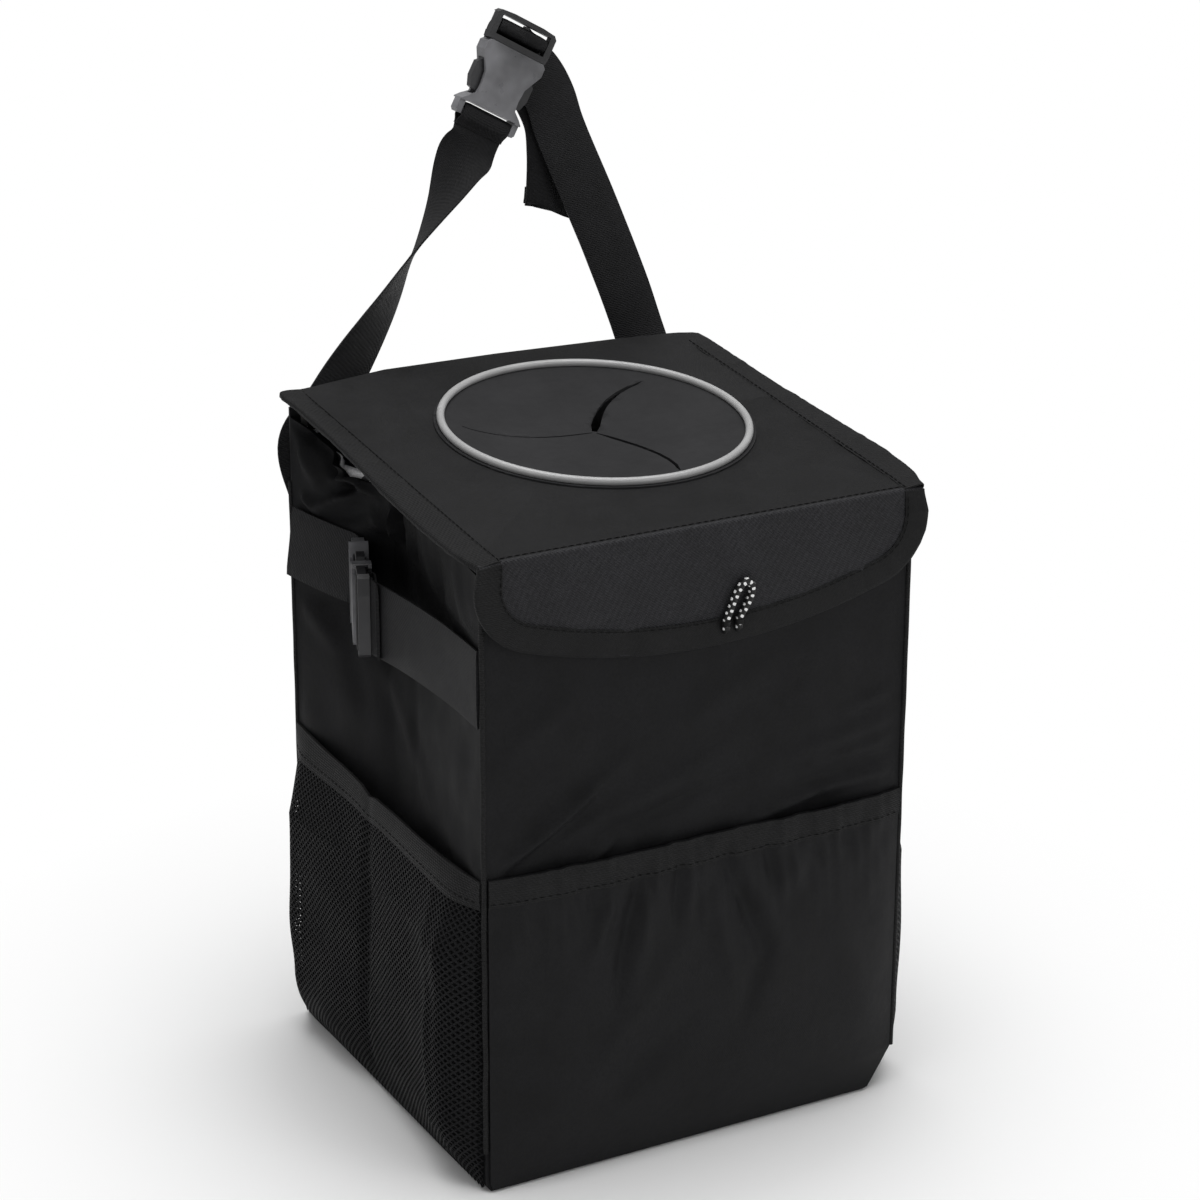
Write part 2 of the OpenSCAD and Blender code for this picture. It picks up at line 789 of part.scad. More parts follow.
// A buckle shell, upright, with its webbing bar at Z = 0 and its mouth at Z = shell_l
bar = 3;
bar_half = 1.7;
slot = 3.4;
waist_low = 11;
waist_high = 26;
module buckle_shell(web, over) {
    h = (web + over) / 2;
    color(plastic_c)
        difference() {
            translate([0, shell_t / 2, 0])
                rotate([90, 0, 0])
                    linear_extrude(shell_t)
                        polygon([
                            [-h + 1, 0], [h - 1, 0], [h, 1.2], [h, bar + slot],
                            [h - 2, bar + slot + 2], [h - 5.4, waist_low],
                            [h - 5.8, 15], [h - 5.2, 21], [h - 2.4, waist_high], [h - 0.4, waist_high + 3.5],
                            [h - 0.4, shell_l - 1.5], [h - 2, shell_l],
                            [-h + 2, shell_l], [-h + 0.4, shell_l - 1.5], [-h + 0.4, waist_high + 3.5],
                            [-h + 2.4, waist_high], [-h + 5.2, 21], [-h + 5.8, 15], [-h + 5.4, waist_low],
                            [-h + 2, bar + slot + 2], [-h, bar + slot], [-h, 1.2]
                        ]);
            translate([-h + 2.2, -shell_t / 2 + shell_wall, waist_low - 1])
                cube([2 * h - 4.4, shell_t - 2 * shell_wall, shell_l]);
            translate([-web / 2 - 0.6, -shell_t, bar])
                cube([web + 1.2, 2 * shell_t, slot]);
            for (s = [-1, 1])
                translate([-h, s * (shell_t / 2 + 1) - 2.5, -1])
                    cube([2 * h, 5, bar + slot + 0.4]);
            for (s = [-1, 1])
                translate([-web / 2 - 0.6, s * (bar_half + shell_t / 2) - shell_t / 2, -1])
                    cube([web + 1.2, shell_t, bar + 2]);
        }
}

// The tongue that snaps into the shell: frame with two slots, guide blade and two sprung arms
arm_t = 3.6;
module buckle_tongue(web, over) {
    h = (web + over) / 2;
    frame_t = 5;
    base = shell_l + clear;
    color(plastic_c) {
        difference() {
            translate([0, frame_t / 2, 0])
                rotate([90, 0, 0])
                    linear_extrude(frame_t)
                        polygon([
                            [-h + 0.4, base], [h - 0.4, base], [h, base + 3], [h, base + frame_l - 2.2],
                            [h - 1.6, base + frame_l - 0.6], [h / 2, base + frame_l],
                            [-h / 2, base + frame_l], [-h + 1.6, base + frame_l - 0.6],
                            [-h, base + frame_l - 2.2], [-h, base + 3]
                        ]);
            for (z = [base + 2.8, base + 8.2])
                translate([-web / 2 - 0.6, -frame_t, z])
                    cube([web + 1.2, 2 * frame_t, 3.6]);
            translate([-h, frame_t / 2 - 1.3, base + 2.8])
                cube([2 * h, 3, 9]);
            translate([-web / 2 - 0.6, -frame_t / 2 - 1, base + 6.2])
                cube([web + 1.2, 2.3, 2.4]);
        }
        translate([-2.2, -arm_t / 2, waist_low + 4])
            cube([4.4, arm_t, base - waist_low - 3]);
        for (s = [-1, 1])
            mirror([s < 0 ? 1 : 0, 0, 0])
                translate([0, arm_t / 2, 0])
                    rotate([90, 0, 0])
                        linear_extrude(arm_t)
                            polygon([
                                [h - 5.6, base + 1], [h - 2.5, base + 1], [h - 2.5, waist_high - 0.6],
                                [h - 0.6, waist_high - 2.2], [h - 0.6, waist_low + 6],
                                [h - 2.4, waist_low + 1.5],
                                [h - 5.6, waist_low + 0.5], [h - 7.4, waist_low + 2.5],
                                [h - 5.6, waist_low + 6]
                            ]);
    }
}

// Seat of the hanging strap's buckle: lower end, sideways lean and backward lean
loop_lean = 0.04;
loop_foot = 262;
loop_free = 300;
loop_back = 14.5;
top_buckle_at = [4, loop_y(402), 402];
top_buckle_roll = 29;

// Depth of the hanging loop's plane at height z, from the sewn ends up to the buckle
function loop_y(z) =
    let (
        lie = min(1, max(0, (z - loop_foot) / (loop_free - loop_foot))),
        sewn = half_d + 2 * tape_t + web_t / 2
    )
    sewn * (1 - lie) + (half_d + loop_back + loop_lean * (z - loop_free)) * lie;

module at_top_buckle() {
    translate(top_buckle_at)
        rotate([-atan(loop_lean), 0, 0])
            rotate([0, top_buckle_roll, 0])
                children();
}

// The same placing for a point
function top_buckle_point(p) =
    let (
        a = atan(loop_lean),
        q = [
            p[0] * cos(top_buckle_roll) + p[2] * sin(top_buckle_roll),
            p[1],
            -p[0] * sin(top_buckle_roll) + p[2] * cos(top_buckle_roll)
        ]
    )
    top_buckle_at + [q[0], q[1] * cos(a) + q[2] * sin(a), -q[1] * sin(a) + q[2] * cos(a)];

module strap_shell() {
    on_back() at_top_buckle() buckle_shell(web_w, buckle_over);
}

module strap_tongue() {
    on_back() at_top_buckle() buckle_tongue(web_w, buckle_over);
}

// Webbing folded round a shell's bar, with its sewn double end below
web_tail = 4.5;
module shell_webbing(web) {
    out = bar_half + web_t / 2 + 2 * clear;
    leg = web_t / 2 + 0.05;
    path = [
        [leg, -web_tail], [leg, -3.4], [1.7, -1.9], [out, -0.2], [out, bar + 0.2], [1.8, bar + 1.8],
        [0, bar + 2.1], [-1.8, bar + 1.8], [-out, bar + 0.2], [-out, -0.2], [-1.7, -1.9], [-leg, -3.4],
        [-leg, -web_tail]
    ];
    translate([-web / 2, 0, 0])
        rotate([90, 0, 90])
            linear_extrude(web)
                polygon(strip_outline(path, web_t));
}

// The hanging strap is drawn for a box this high at the back and this wide, and follows the
// real one's height and, at its sewn ends, its corners
drawn_back_h = 298.69;
drawn_half_w = 100;
spread_foot = 280;
spread_end = 380;
function spread(z) =
    (half_w - drawn_half_w) * min(1, max(0, (spread_end - z) / (spread_end - spread_foot)));

module on_back() {
    translate([0, 0, back_h - drawn_back_h])
        children();
}

// Left half: sewn to the back's upper corner, twisted half a turn on its way up.
// Each point is [x, z, turn in degrees]
left_run = [
    [-88, 254, 0], [-91, 272, 0], [-80, 285, 18], [-67, 298, 38], [-52, 318, 61], [-43, 330, 75],
    [-34.4, 342, 90], [-25, 357, 108], [-16, 371, 125], [-8, 385, 146], [-3, 393, 162], [0.5, 397, 176]
];
module hanging_strap_left() {
    last = len(left_run) - 1;
    pts = concat(
        [for (i = [0:last - 1]) let (p = left_run[i]) [p[0] - spread(p[1]), loop_y(p[1]), p[1]]],
        [top_buckle_point([0, 0, 1 - web_tail])]
    );
    color(tape_c) on_back() {
        band([
            for (i = [0:last])
                let (
                    d = unit(pts[min(last, i + 1)] - pts[max(0, i - 1)]),
                    n1 = unit([d[2], 0, -d[0]]),
                    n2 = cross(d, n1),
                    a = left_run[i][2]
                )
                [pts[i], web_w / 2 * (cos(a) * n1 + sin(a) * n2), web_t / 2 * (-sin(a) * n1 + cos(a) * n2)]
        ]);
        at_top_buckle() shell_webbing(web_w);
    }
}

// Right half: sewn to the back, up to the tongue, over its bar and down again as a loose tail.
// Each point is [x, z, slope of the webbing's width in degrees]
right_run = [
    [86, 258, 17], [85, 280, 17], [81, 300, 17], [74, 320, 18], [67, 340, 20], [58.5, 360, 21],
    [50.5, 380, 20], [43.5, 396, 14], [37, 410, 2], [30, 421, -14], [23, 430, -27]
];
tail_run = [[22, 431, -28], [28, 421, -18], [33, 408, -8], [36.5, 392, 0], [38, 376, 0], [38, 364, 0]];
main_back = 6.3;
tail_back = 8;
module tongue_webbing(web) {
    b = shell_l + clear;
    path = [
        [main_back, b - 6], [main_back, b + 1], [4, b + 3.4], [0.6, b + 4.6], [-1.9, b + 5.4],
        [-2.6, b + 7.2], [-1.9, b + 9.2], [0.6, b + 9.9], [4.6, b + 9.7],
        [tail_back - 0.3, b + 7.4], [tail_back, b + 3], [tail_back, b - 6]
    ];
    translate([-web / 2, 0, 0])
        rotate([90, 0, 90])
            linear_extrude(web)
                polygon(strip_outline(path, web_t));
}

module run_band(run, back) {
    last = len(run) - 1;
    pts = [for (p = run) [p[0] + spread(p[1]), loop_y(p[1]) + back(p[1]), p[1]]];
    band([
        for (i = [0:last])
            let (
                w = [cos(run[i][2]), 0, sin(run[i][2])],
                d = pts[min(last, i + 1)] - pts[max(0, i - 1)]
            )
            [pts[i], web_w / 2 * w, web_t / 2 * unit(cross(d, w))]
    ]);
}

module hanging_strap_right() {
    color(tape_c) on_back() {
        run_band(right_run, function(z) main_back * min(1, max(0, (z - 330) / 70)));
        run_band(tail_run, function(z) tail_back + 0.5 * min(1, max(0, (420 - z) / 20)));
        at_top_buckle() tongue_webbing(web_w);
    }
}

// Side buckle: its shell hangs on the rear strap, its tongue on the front strap
side_bar_at = [-half_w + 12.2, 49.7];
side_turn = 22;
module at_left_buckle() {
    translate([side_bar_at[0], side_bar_at[1], side_web_z])
        rotate([0, 0, -side_turn])
            rotate([0, 90, 0])
                rotate([90, 0, 0])
                    children();
}

// Plan position of a point of the side buckle's own frame
function side_point_at(back, along) =
    [
        side_bar_at[0] + back * cos(side_turn) - along * sin(side_turn),
        side_bar_at[1] - back * sin(side_turn) - along * cos(side_turn)
    ];

// Upright band along a plan path, half width up and down, its first end raised
module side_band(path, raised = 0) {
    last = len(path) - 1;
    band([
        for (i = [0:last])
            let (d = unit(path[min(last, i + 1)] - path[max(0, i - 1)]))
                [
                    [path[i][0], path[i][1], side_web_z + raised * (1 - i / last)],
                    [0, 0, side_web_w / 2],
                    web_t / 2 * [d[1], -d[0], 0]
                ]
    ]);
}

// The rear strap follows the folded side from the rear corner to the shell's bar
module side_strap_rear() {
    seam = side_end - clear;
    start = side_point_at(0, 1 - web_tail);
    low = side_web_z - side_web_w / 2;
    path = concat(
        [
            for (k = [0:5])
                let (y = seam + (start[1] + 4 - seam) * k / 5)
                    [-half_w + fold_in(y, low) - web_t / 2 - clear - 0.7 * (1 - k / 5), y]
        ],
        [start]
    );
    color(tape_c) {
        side_band(path, side_rise);
        at_left_buckle() shell_webbing(side_web_w);
    }
}

// The front strap: doubled round the tongue's bar, then straight to the front corner
side_leg = 3.6;
side_tail_leg = side_leg + web_t + 0.1;
module side_strap_front() {
    b = shell_l + clear;
    far = b + frame_l;
    start = side_point_at(side_leg, far);
    end = [-half_w - web_t / 2 - clear, -side_end + clear];
    sag = 2.5;
    path = [
        [side_tail_leg, far + 8], [side_tail_leg, b + 7], [3.9, b + 5], [0.6, b + 4.6], [-1.9, b + 5.4],
        [-2.6, b + 7.2], [-1.9, b + 9.1], [0.6, b + 9.6], [2.7, b + 10.2],
        [side_leg, b + 11.8], [side_leg, far + 1]
    ];
    color(tape_c) {
        side_band([for (k = [0:8]) start + (end - start) * k / 8 + [sag * sin(180 * k / 8), 0]]);
        at_left_buckle()
            translate([-side_web_w / 2, 0, 0])
                rotate([90, 0, 90])
                    linear_extrude(side_web_w)
                        polygon(strip_outline(path, web_t));
    }
}

module left_side_strap_rear() {
    side_strap_rear();
}

module left_side_strap_front() {
    side_strap_front();
}

module left_side_shell() {
    at_left_buckle() buckle_shell(side_web_w, side_buckle_over);
}

module left_side_tongue() {
    at_left_buckle() buckle_tongue(side_web_w, side_buckle_over);
}

module right_side_strap_rear() {
    mirror([1, 0, 0]) side_strap_rear();
}

module right_side_strap_front() {
    mirror([1, 0, 0]) side_strap_front();
}

module right_side_shell() {
    mirror([1, 0, 0]) left_side_shell();
}

module right_side_tongue() {
    mirror([1, 0, 0]) left_side_tongue();
}

base_panel();
front_panel();
back_panel();
left_gusset();
right_gusset();
front_board();
back_board();
base_board();
liner();
liner_hem();
front_rim();
back_rim();
corner_piping();
hinge_roll();
front_pocket();
front_pocket_hem();
left_mesh_pocket();
left_mesh_hem();
right_mesh_pocket();
right_mesh_hem();
lid_cover();
lid_board();
lid_lining();
lid_flap();
lid_binding();
inlet_rubber();
inlet_ring();
pull_loop();
hanging_strap_left();
hanging_strap_right();
strap_shell();
strap_tongue();
left_side_strap_rear();
left_side_strap_front();
left_side_shell();
left_side_tongue();
right_side_strap_rear();
right_side_strap_front();
right_side_shell();
right_side_tongue();
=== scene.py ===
import json
import math

import bmesh
import bpy
import numpy as np
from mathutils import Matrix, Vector

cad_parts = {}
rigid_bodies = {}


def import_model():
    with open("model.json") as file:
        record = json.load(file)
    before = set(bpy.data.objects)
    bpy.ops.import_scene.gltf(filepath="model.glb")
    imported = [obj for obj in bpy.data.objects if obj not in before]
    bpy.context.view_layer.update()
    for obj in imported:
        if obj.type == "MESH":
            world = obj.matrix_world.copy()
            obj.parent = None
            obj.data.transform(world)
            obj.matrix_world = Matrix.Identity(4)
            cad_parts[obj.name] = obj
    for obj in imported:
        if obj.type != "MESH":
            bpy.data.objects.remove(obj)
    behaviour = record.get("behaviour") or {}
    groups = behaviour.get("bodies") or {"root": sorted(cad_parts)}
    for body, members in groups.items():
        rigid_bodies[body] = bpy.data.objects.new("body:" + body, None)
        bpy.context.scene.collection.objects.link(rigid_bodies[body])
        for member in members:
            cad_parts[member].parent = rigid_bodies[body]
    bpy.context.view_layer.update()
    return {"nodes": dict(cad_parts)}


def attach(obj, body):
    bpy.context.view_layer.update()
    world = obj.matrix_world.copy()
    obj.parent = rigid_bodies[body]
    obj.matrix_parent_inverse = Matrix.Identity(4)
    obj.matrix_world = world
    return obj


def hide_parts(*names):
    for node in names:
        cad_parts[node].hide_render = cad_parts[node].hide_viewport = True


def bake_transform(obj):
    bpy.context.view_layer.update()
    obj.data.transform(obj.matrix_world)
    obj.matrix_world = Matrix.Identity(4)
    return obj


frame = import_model()
nodes = frame["nodes"]

# Sizes in mm, the same as in the part's source
HW, HD = 100.0, 92.0
FRONT_H, TILT = 280.0, math.radians(5.8)
TAN = math.tan(TILT)
LID_T, CLOTH, TAPE, CLEAR = 4.0, 1.2, 0.8, 0.3
BACK_H = FRONT_H + 2 * HD * TAN
CUT_W, CUT_H, SMALL_W, SMALL_H = 13.0, 19.0, 2.0, 4.0
FOLD_LOW, FOLD_HIGH, FOLD_BACK = 4.0, 24.0, 38.0
FOLD_FROM, FOLD_TO = 138.0, 208.5
SPLIT = 0.6  # share of a side's rows that lie below FOLD_TO
SIDE_END = HD - CLOTH
POCKET_H, MESH_H, HEM_H, LINER_HEM = 143.0, 138.0, 12.0, 3.0
FLAP_Y, FLAP_HALF = -HD - 4.0, HW + 5.7
FLAP_LOW, FLAP_R, CORNER_R, BINDING = FRONT_H - 53.0, 280.0, 30.0, 12.0
RING_X, RING_Y, RING_R = 7.0, 104.0, 66.0
WEB, WEB_T, SIDE_WEB, SIDE_Z, SIDE_RISE = 25.0, 1.4, 33.0, 225.0, 6.5
SHELL_L, FRAME_L = 35.0, 14.0
FRONT_TOP = FRONT_H - LID_T / math.cos(TILT) - CLEAR - TAPE
BACK_TOP = 292.0
SIDES = ((-1, "left"), (1, "right"))
HINGE_Z = BACK_H - LID_T / math.cos(TILT) - 0.7


# Materials
class Shader:
    """A small helper that builds a node tree step by step."""

    def __init__(self, name):
        self.mat = bpy.data.materials.new(name)
        self.mat.use_nodes = True
        self.tree = self.mat.node_tree
        self.bsdf = self.tree.nodes["Principled BSDF"]

    def node(self, kind, **inputs):
        made = self.tree.nodes.new("ShaderNode" + kind)
        for key, value in inputs.items():
            if key.startswith("_"):
                setattr(made, key[1:], value)
                continue
            socket = made.inputs[int(key[1:])] if key[0] == "i" and key[1:].isdigit() else made.inputs[key]
            if isinstance(value, bpy.types.NodeSocket):
                self.tree.links.new(value, socket)
            else:
                socket.default_value = value
        return made

    def math(self, how, a, b=0.0):
        return self.node("Math", _operation=how, i0=a, i1=b).outputs[0]

    def coords(self, which="Object"):
        return self.node("TexCoord").outputs[which]

    def noise(self, scale, where, detail=3.0):
        made = self.node("TexNoise", Vector=where, Scale=scale, Detail=detail, Roughness=0.55)
        return made.outputs["Fac"]

    def ramp(self, value, low, high, lo=0.3, hi=0.7):
        made = self.node("MapRange", Value=value)
        for key, number in (("From Min", lo), ("From Max", hi), ("To Min", low), ("To Max", high)):
            made.inputs[key].default_value = number
        return made.outputs[0]

    def tint(self, colour, factor):
        made = self.node("VectorMath", _operation="SCALE", i0=colour)
        self.tree.links.new(factor, made.inputs["Scale"])
        return made.outputs[0]

    def bump(self, height, distance, strength=1.0, under=None):
        made = self.node("Bump", Height=height, Distance=distance, Strength=strength)
        if under is not None:
            self.tree.links.new(under, made.inputs["Normal"])
        return made.outputs[0]

    def done(self, colour, rough, normal, spec=0.5):
        b = self.bsdf
        self.tree.links.new(colour, b.inputs["Base Color"])
        if isinstance(rough, bpy.types.NodeSocket):
            self.tree.links.new(rough, b.inputs["Roughness"])
        else:
            b.inputs["Roughness"].default_value = rough
        self.tree.links.new(normal, b.inputs["Normal"])
        b.inputs["Specular IOR Level"].default_value = spec
        return self.mat


def woven(name, colour, rough, pitch, spec=0.3, kind="plain", depth=0.00008, vary=0.25):
    """Cloth: a weave along the piece's own UV, measured in metres, with slow changes of tone."""
    s = Shader(name)
    uv = s.node("SeparateXYZ", Vector=s.coords("UV"))
    where = s.coords("Object")
    turn = 2 * math.pi / pitch
    a, b = s.math("MULTIPLY", uv.outputs[0], turn), s.math("MULTIPLY", uv.outputs[1], turn)
    if kind == "twill":
        thread = s.math("SINE", s.math("ADD", a, b))
        cross = s.math("SINE", s.math("MULTIPLY", s.math("SUBTRACT", a, b), 0.5))
        weave = s.math("ADD", thread, s.math("MULTIPLY", cross, 0.6))
    elif kind == "ribs":
        thread = s.math("SINE", b)
        cross = s.math("SINE", s.math("ADD", s.math("MULTIPLY", a, 0.5), s.math("MULTIPLY", b, 0.5)))
        weave = s.math("ADD", thread, s.math("MULTIPLY", cross, 0.7))
    else:
        weave = s.math("MULTIPLY", s.math("SINE", a), s.math("SINE", b))
    slow = s.noise(55.0, where, 4.0)
    fine = s.noise(900.0, where, 2.0)
    tone = s.math("MULTIPLY", s.ramp(slow, 1 - vary, 1 + vary), s.ramp(weave, 0.82, 1.18, -1.0, 1.0))
    colour = s.tint(colour, s.math("MULTIPLY", tone, s.ramp(fine, 0.8, 1.2)))
    wrinkled = s.bump(s.noise(70.0, where), 0.0006, 0.6)
    gloss = s.ramp(slow, rough - 0.06, rough + 0.06)
    return s.done(colour, gloss, s.bump(weave, depth, 0.55, wrinkled), spec)


def moulded(name, colour, rough, spec=0.5, grain=0.00004, vary=0.1):
    """Plastic or rubber: a fine grain, with small changes of tone and gloss; a large vary, as on the buckles,
    makes big patches of tone that are painted highlights.
    """
    s = Shader(name)
    where = s.coords("Object")
    slow, fine = s.noise(40.0, where), s.noise(1800.0, where, 2.0)
    colour = s.tint(colour, s.ramp(slow, 1 - vary, 1 + vary))
    gloss = s.ramp(s.noise(220.0, where), rough - 0.05, rough + 0.05)
    return s.done(colour, gloss, s.bump(fine, grain, 0.5), spec)


CLOTH_M = woven("cloth", (0.0073, 0.0073, 0.008), 0.55, 0.0007, spec=0.13, vary=0.35)
# The sides' cloth: the walls' cloth painted a little darker, as painted shade on the sides.
SIDE_SHADED_M = woven("side_cloth", (0.0066, 0.0066, 0.0072), 0.57, 0.0007, spec=0.08, vary=0.35)
POCKET_M = woven("pocket_cloth", (0.0067, 0.0067, 0.0074), 0.5, 0.0007, spec=0.14, vary=0.3)
# The lid's top: the same cloth painted about twice as light, as painted light from above.
TOP_LIT_M = woven("lid_cloth", (0.0126, 0.0126, 0.0131), 0.65, 0.0008, spec=0.12, vary=0.25)
TWILL_M = woven("twill", (0.0215, 0.0215, 0.0235), 0.62, 0.0016, spec=0.15, kind="twill",
                depth=0.0002, vary=0.15)
TAPE_M = woven("tape", (0.0105, 0.0105, 0.0108), 0.62, 0.001, spec=0.14, kind="ribs", depth=0.00012)
EDGE_M = woven("edge_tape", (0.0108, 0.0108, 0.0112), 0.64, 0.0012, spec=0.12, kind="ribs",
               depth=0.00016, vary=0.2)
WEB_M = woven("webbing", (0.0112, 0.0112, 0.012), 0.58, 0.0009, spec=0.15, kind="ribs", depth=0.00014)
MESH_M = woven("mesh", (0.007, 0.007, 0.0077), 0.6, 0.0009, spec=0.1, kind="ribs")
LINER_M = woven("liner", (0.05, 0.05, 0.053), 0.42, 0.0006, spec=0.3, depth=0.00003)
HEM_M = woven("hem", (0.85, 0.85, 0.86), 0.6, 0.0008, spec=0.3, vary=0.08)
LINING_M = woven("lining", (0.02, 0.02, 0.021), 0.6, 0.0006, spec=0.3)
# Thread: painted darker than the thread itself, so that its close rows along the bindings' inner edges also
# stand as painted shade of the sewn grooves.
THREAD_AND_SHADE_M = woven("thread", (0.004, 0.004, 0.004), 0.6, 0.0004, spec=0.1, kind="ribs")
BOARD_M = moulded("board", (0.09, 0.088, 0.085), 0.7)
RUBBER_M = moulded("rubber", (0.0185, 0.0185, 0.0196), 0.66, spec=0.15, vary=0.15)
RING_M = moulded("ring", (0.36, 0.36, 0.36), 0.32, spec=0.5, grain=0.00001)
# Buckle shells: the dark plastic painted much lighter than its own colour, with big patches of tone, as
# painted highlights.
BUCKLE_LIT_M = moulded("buckle", (0.115, 0.115, 0.122), 0.32, spec=0.5, grain=0.00003, vary=0.75)
# Buckle tongues: the same plastic kept dark as its shaded copy (painted shade), with patches of tone as
# painted highlights.
BUCKLE_SHADED_M = moulded("buckle_tongue", (0.026, 0.026, 0.028), 0.36, spec=0.4, grain=0.00003, vary=0.5)


# Meshes
def waves(seed, length, p):
    """Smooth random field of about -1 to 1 over points in mm."""
    count = 14
    rng = np.random.default_rng(seed)
    total = np.zeros(p.shape[:-1])
    for _ in range(count):
        d = rng.normal(size=3)
        d /= np.linalg.norm(d)
        k = 2 * math.pi / (length * rng.uniform(0.7, 1.6))
        total += np.sin(p @ (d * k) + rng.uniform(0, 6.28))
    return total / math.sqrt(count)


def smooth(x, a, b):
    t = np.clip((x - a) / (b - a), 0, 1)
    return t * t * (3 - 2 * t)


def unit(v):
    """Each row of v at length 1."""
    return v / np.maximum(np.linalg.norm(v, axis=-1, keepdims=True), 1e-9)


def flat_points(a, b, across):
    """Points of a flat piece, with 0 for the coordinate that it lies across."""
    parts = [a, b]
    parts.insert(across, np.zeros_like(a))
    return np.stack(parts, -1)


def ridge(p, a, b, width, height, axes=(1, 2)):
    """A soft crease along the line from a to b, in two of the coordinates."""
    q = p[..., list(axes)]
    a, b = np.array(a, float), np.array(b, float)
    d = b - a
    t = np.clip(((q - a) @ d) / (d @ d), 0, 1)
    away = np.linalg.norm(q - (a + t[..., None] * d), axis=-1)
    return height * np.exp(-((away / width) ** 2)) * np.sin(math.pi * (0.12 + 0.76 * t))


def ridges(p, folds, axes=(1, 2), widen=1.0, raised=1.0):
    """Sum of creases, each row with the two points it runs between, its width and its height in mm."""
    return sum(ridge(p, row[:2], row[2:4], widen * row[4], raised * row[5], axes) for row in folds)


def build(name, verts, faces, mat, uv=None, smoothed=True):
    mesh = bpy.data.meshes.new(name)
    mesh.from_pydata((np.asarray(verts) * 0.001).tolist(), [], [list(map(int, f)) for f in faces])
    if uv is not None:
        layer = mesh.uv_layers.new(name="UVMap")
        loops = np.empty(len(mesh.loops), np.int32)
        mesh.loops.foreach_get("vertex_index", loops)
        layer.data.foreach_set("uv", (np.asarray(uv)[loops] * 0.001).astype(np.float32).ravel())
    bm = bmesh.new()
    bm.from_mesh(mesh)
    bmesh.ops.recalc_face_normals(bm, faces=bm.faces)
    bm.to_mesh(mesh)
    bm.free()
    if smoothed:
        mesh.polygons.foreach_set("use_smooth", [True] * len(mesh.polygons))
        mesh.set_sharp_from_angle(angle=math.radians(50))
    mesh.materials.append(mat)
    obj = bpy.data.objects.new(name, mesh)
    bpy.context.scene.collection.objects.link(obj)
    return obj


def lengths(p, axis):
    step = np.linalg.norm(np.diff(p, axis=axis), axis=-1)
    pad = [(0, 0), (0, 0)]
    pad[axis] = (1, 0)
    return np.pad(np.cumsum(step, axis=axis), pad)


def ring_grid(rows, cols):
    """Numbers of the points in closed rings, those of their neighbours, and the faces between the rings."""
    at = np.arange(rows * cols).reshape(rows, cols)
    beside = np.roll(at, -1, axis=1)
    return at, beside, np.stack([at[:-1], beside[:-1], beside[1:], at[1:]], -1).reshape(-1, 4)


def grid_uv(p):
    return np.stack([lengths(p, 1).ravel(), lengths(p, 0).ravel()], -1)


def slab(name, front, back, mat, closed=False):
    """Closed sheet between two grids of points. closed joins the first and last columns."""
    r, c = front.shape[:2]
    n = r * c
    idx = np.arange(n).reshape(r, c)
    right = np.roll(idx, -1, axis=1) if closed else idx[:, 1:]
    left = idx if closed else idx[:, :-1]
    quads = np.stack([left[:-1], right[:-1], right[1:], left[1:]], -1).reshape(-1, 4)
    edges = [np.stack([left[0], right[0]], -1), np.stack([right[-1], left[-1]], -1)]
    if not closed:
        edges += [np.stack([idx[1:, 0], idx[:-1, 0]], -1), np.stack([idx[:-1, -1], idx[1:, -1]], -1)]
    edges = np.concatenate(edges)
    walls = np.concatenate([edges[:, ::-1], edges + n], axis=1)
    faces = np.concatenate([quads, quads[:, ::-1] + n, walls])
    verts = np.concatenate([front.reshape(-1, 3), back.reshape(-1, 3)])
    return build(name, verts, faces, mat, np.tile(grid_uv(front), (2, 1)))


def spline(rows, count):
    """Smooth run of points through rows, at even steps of the rows' own numbers."""
    rows = np.asarray(rows, float)
    steps = np.maximum(np.linalg.norm(np.diff(rows[:, :3], axis=0), axis=1), 1e-6)
    at = np.concatenate([[0], np.cumsum(np.sqrt(steps))])
    t = np.interp(np.linspace(0, np.sqrt(steps).sum(), count), at, np.arange(len(rows)))
    i = np.minimum(t.astype(int), len(rows) - 2)
    f = (t - i)[:, None]
    p0, p1 = rows[np.maximum(i - 1, 0)], rows[i]
    p2, p3 = rows[i + 1], rows[np.minimum(i + 2, len(rows) - 1)]
    curve = (2 * p0 - 5 * p1 + 4 * p2 - p3) * f**2 + (3 * p1 - p0 - 3 * p2 + p3) * f**3
    return 0.5 * (2 * p1 + (p2 - p0) * f + curve)


def ribbon(name, centres, across, width, t, mat, count):
    """Strap along centres; across gives the direction of its width in each row."""
    rows = spline(np.concatenate([centres, across], axis=1), count)
    c, w = rows[:, :3], rows[:, 3:6]
    along = unit(np.gradient(c, axis=0))
    w = unit(w - along * np.sum(w * along, axis=1, keepdims=True))
    n = np.cross(along, w)
    s = np.linspace(-1, 1, 9)
    half = t / 2 * (1 - 0.45 * np.abs(s) ** 8)
    mid = c[:, None] + w[:, None] * (s * width / 2)[None, :, None]
    mid = mid + n[:, None] * 0.12 * waves(len(name) + count, 24, mid)[..., None]
    lift = n[:, None] * half[None, :, None]
    return slab(name, mid + lift, mid - lift, mat)


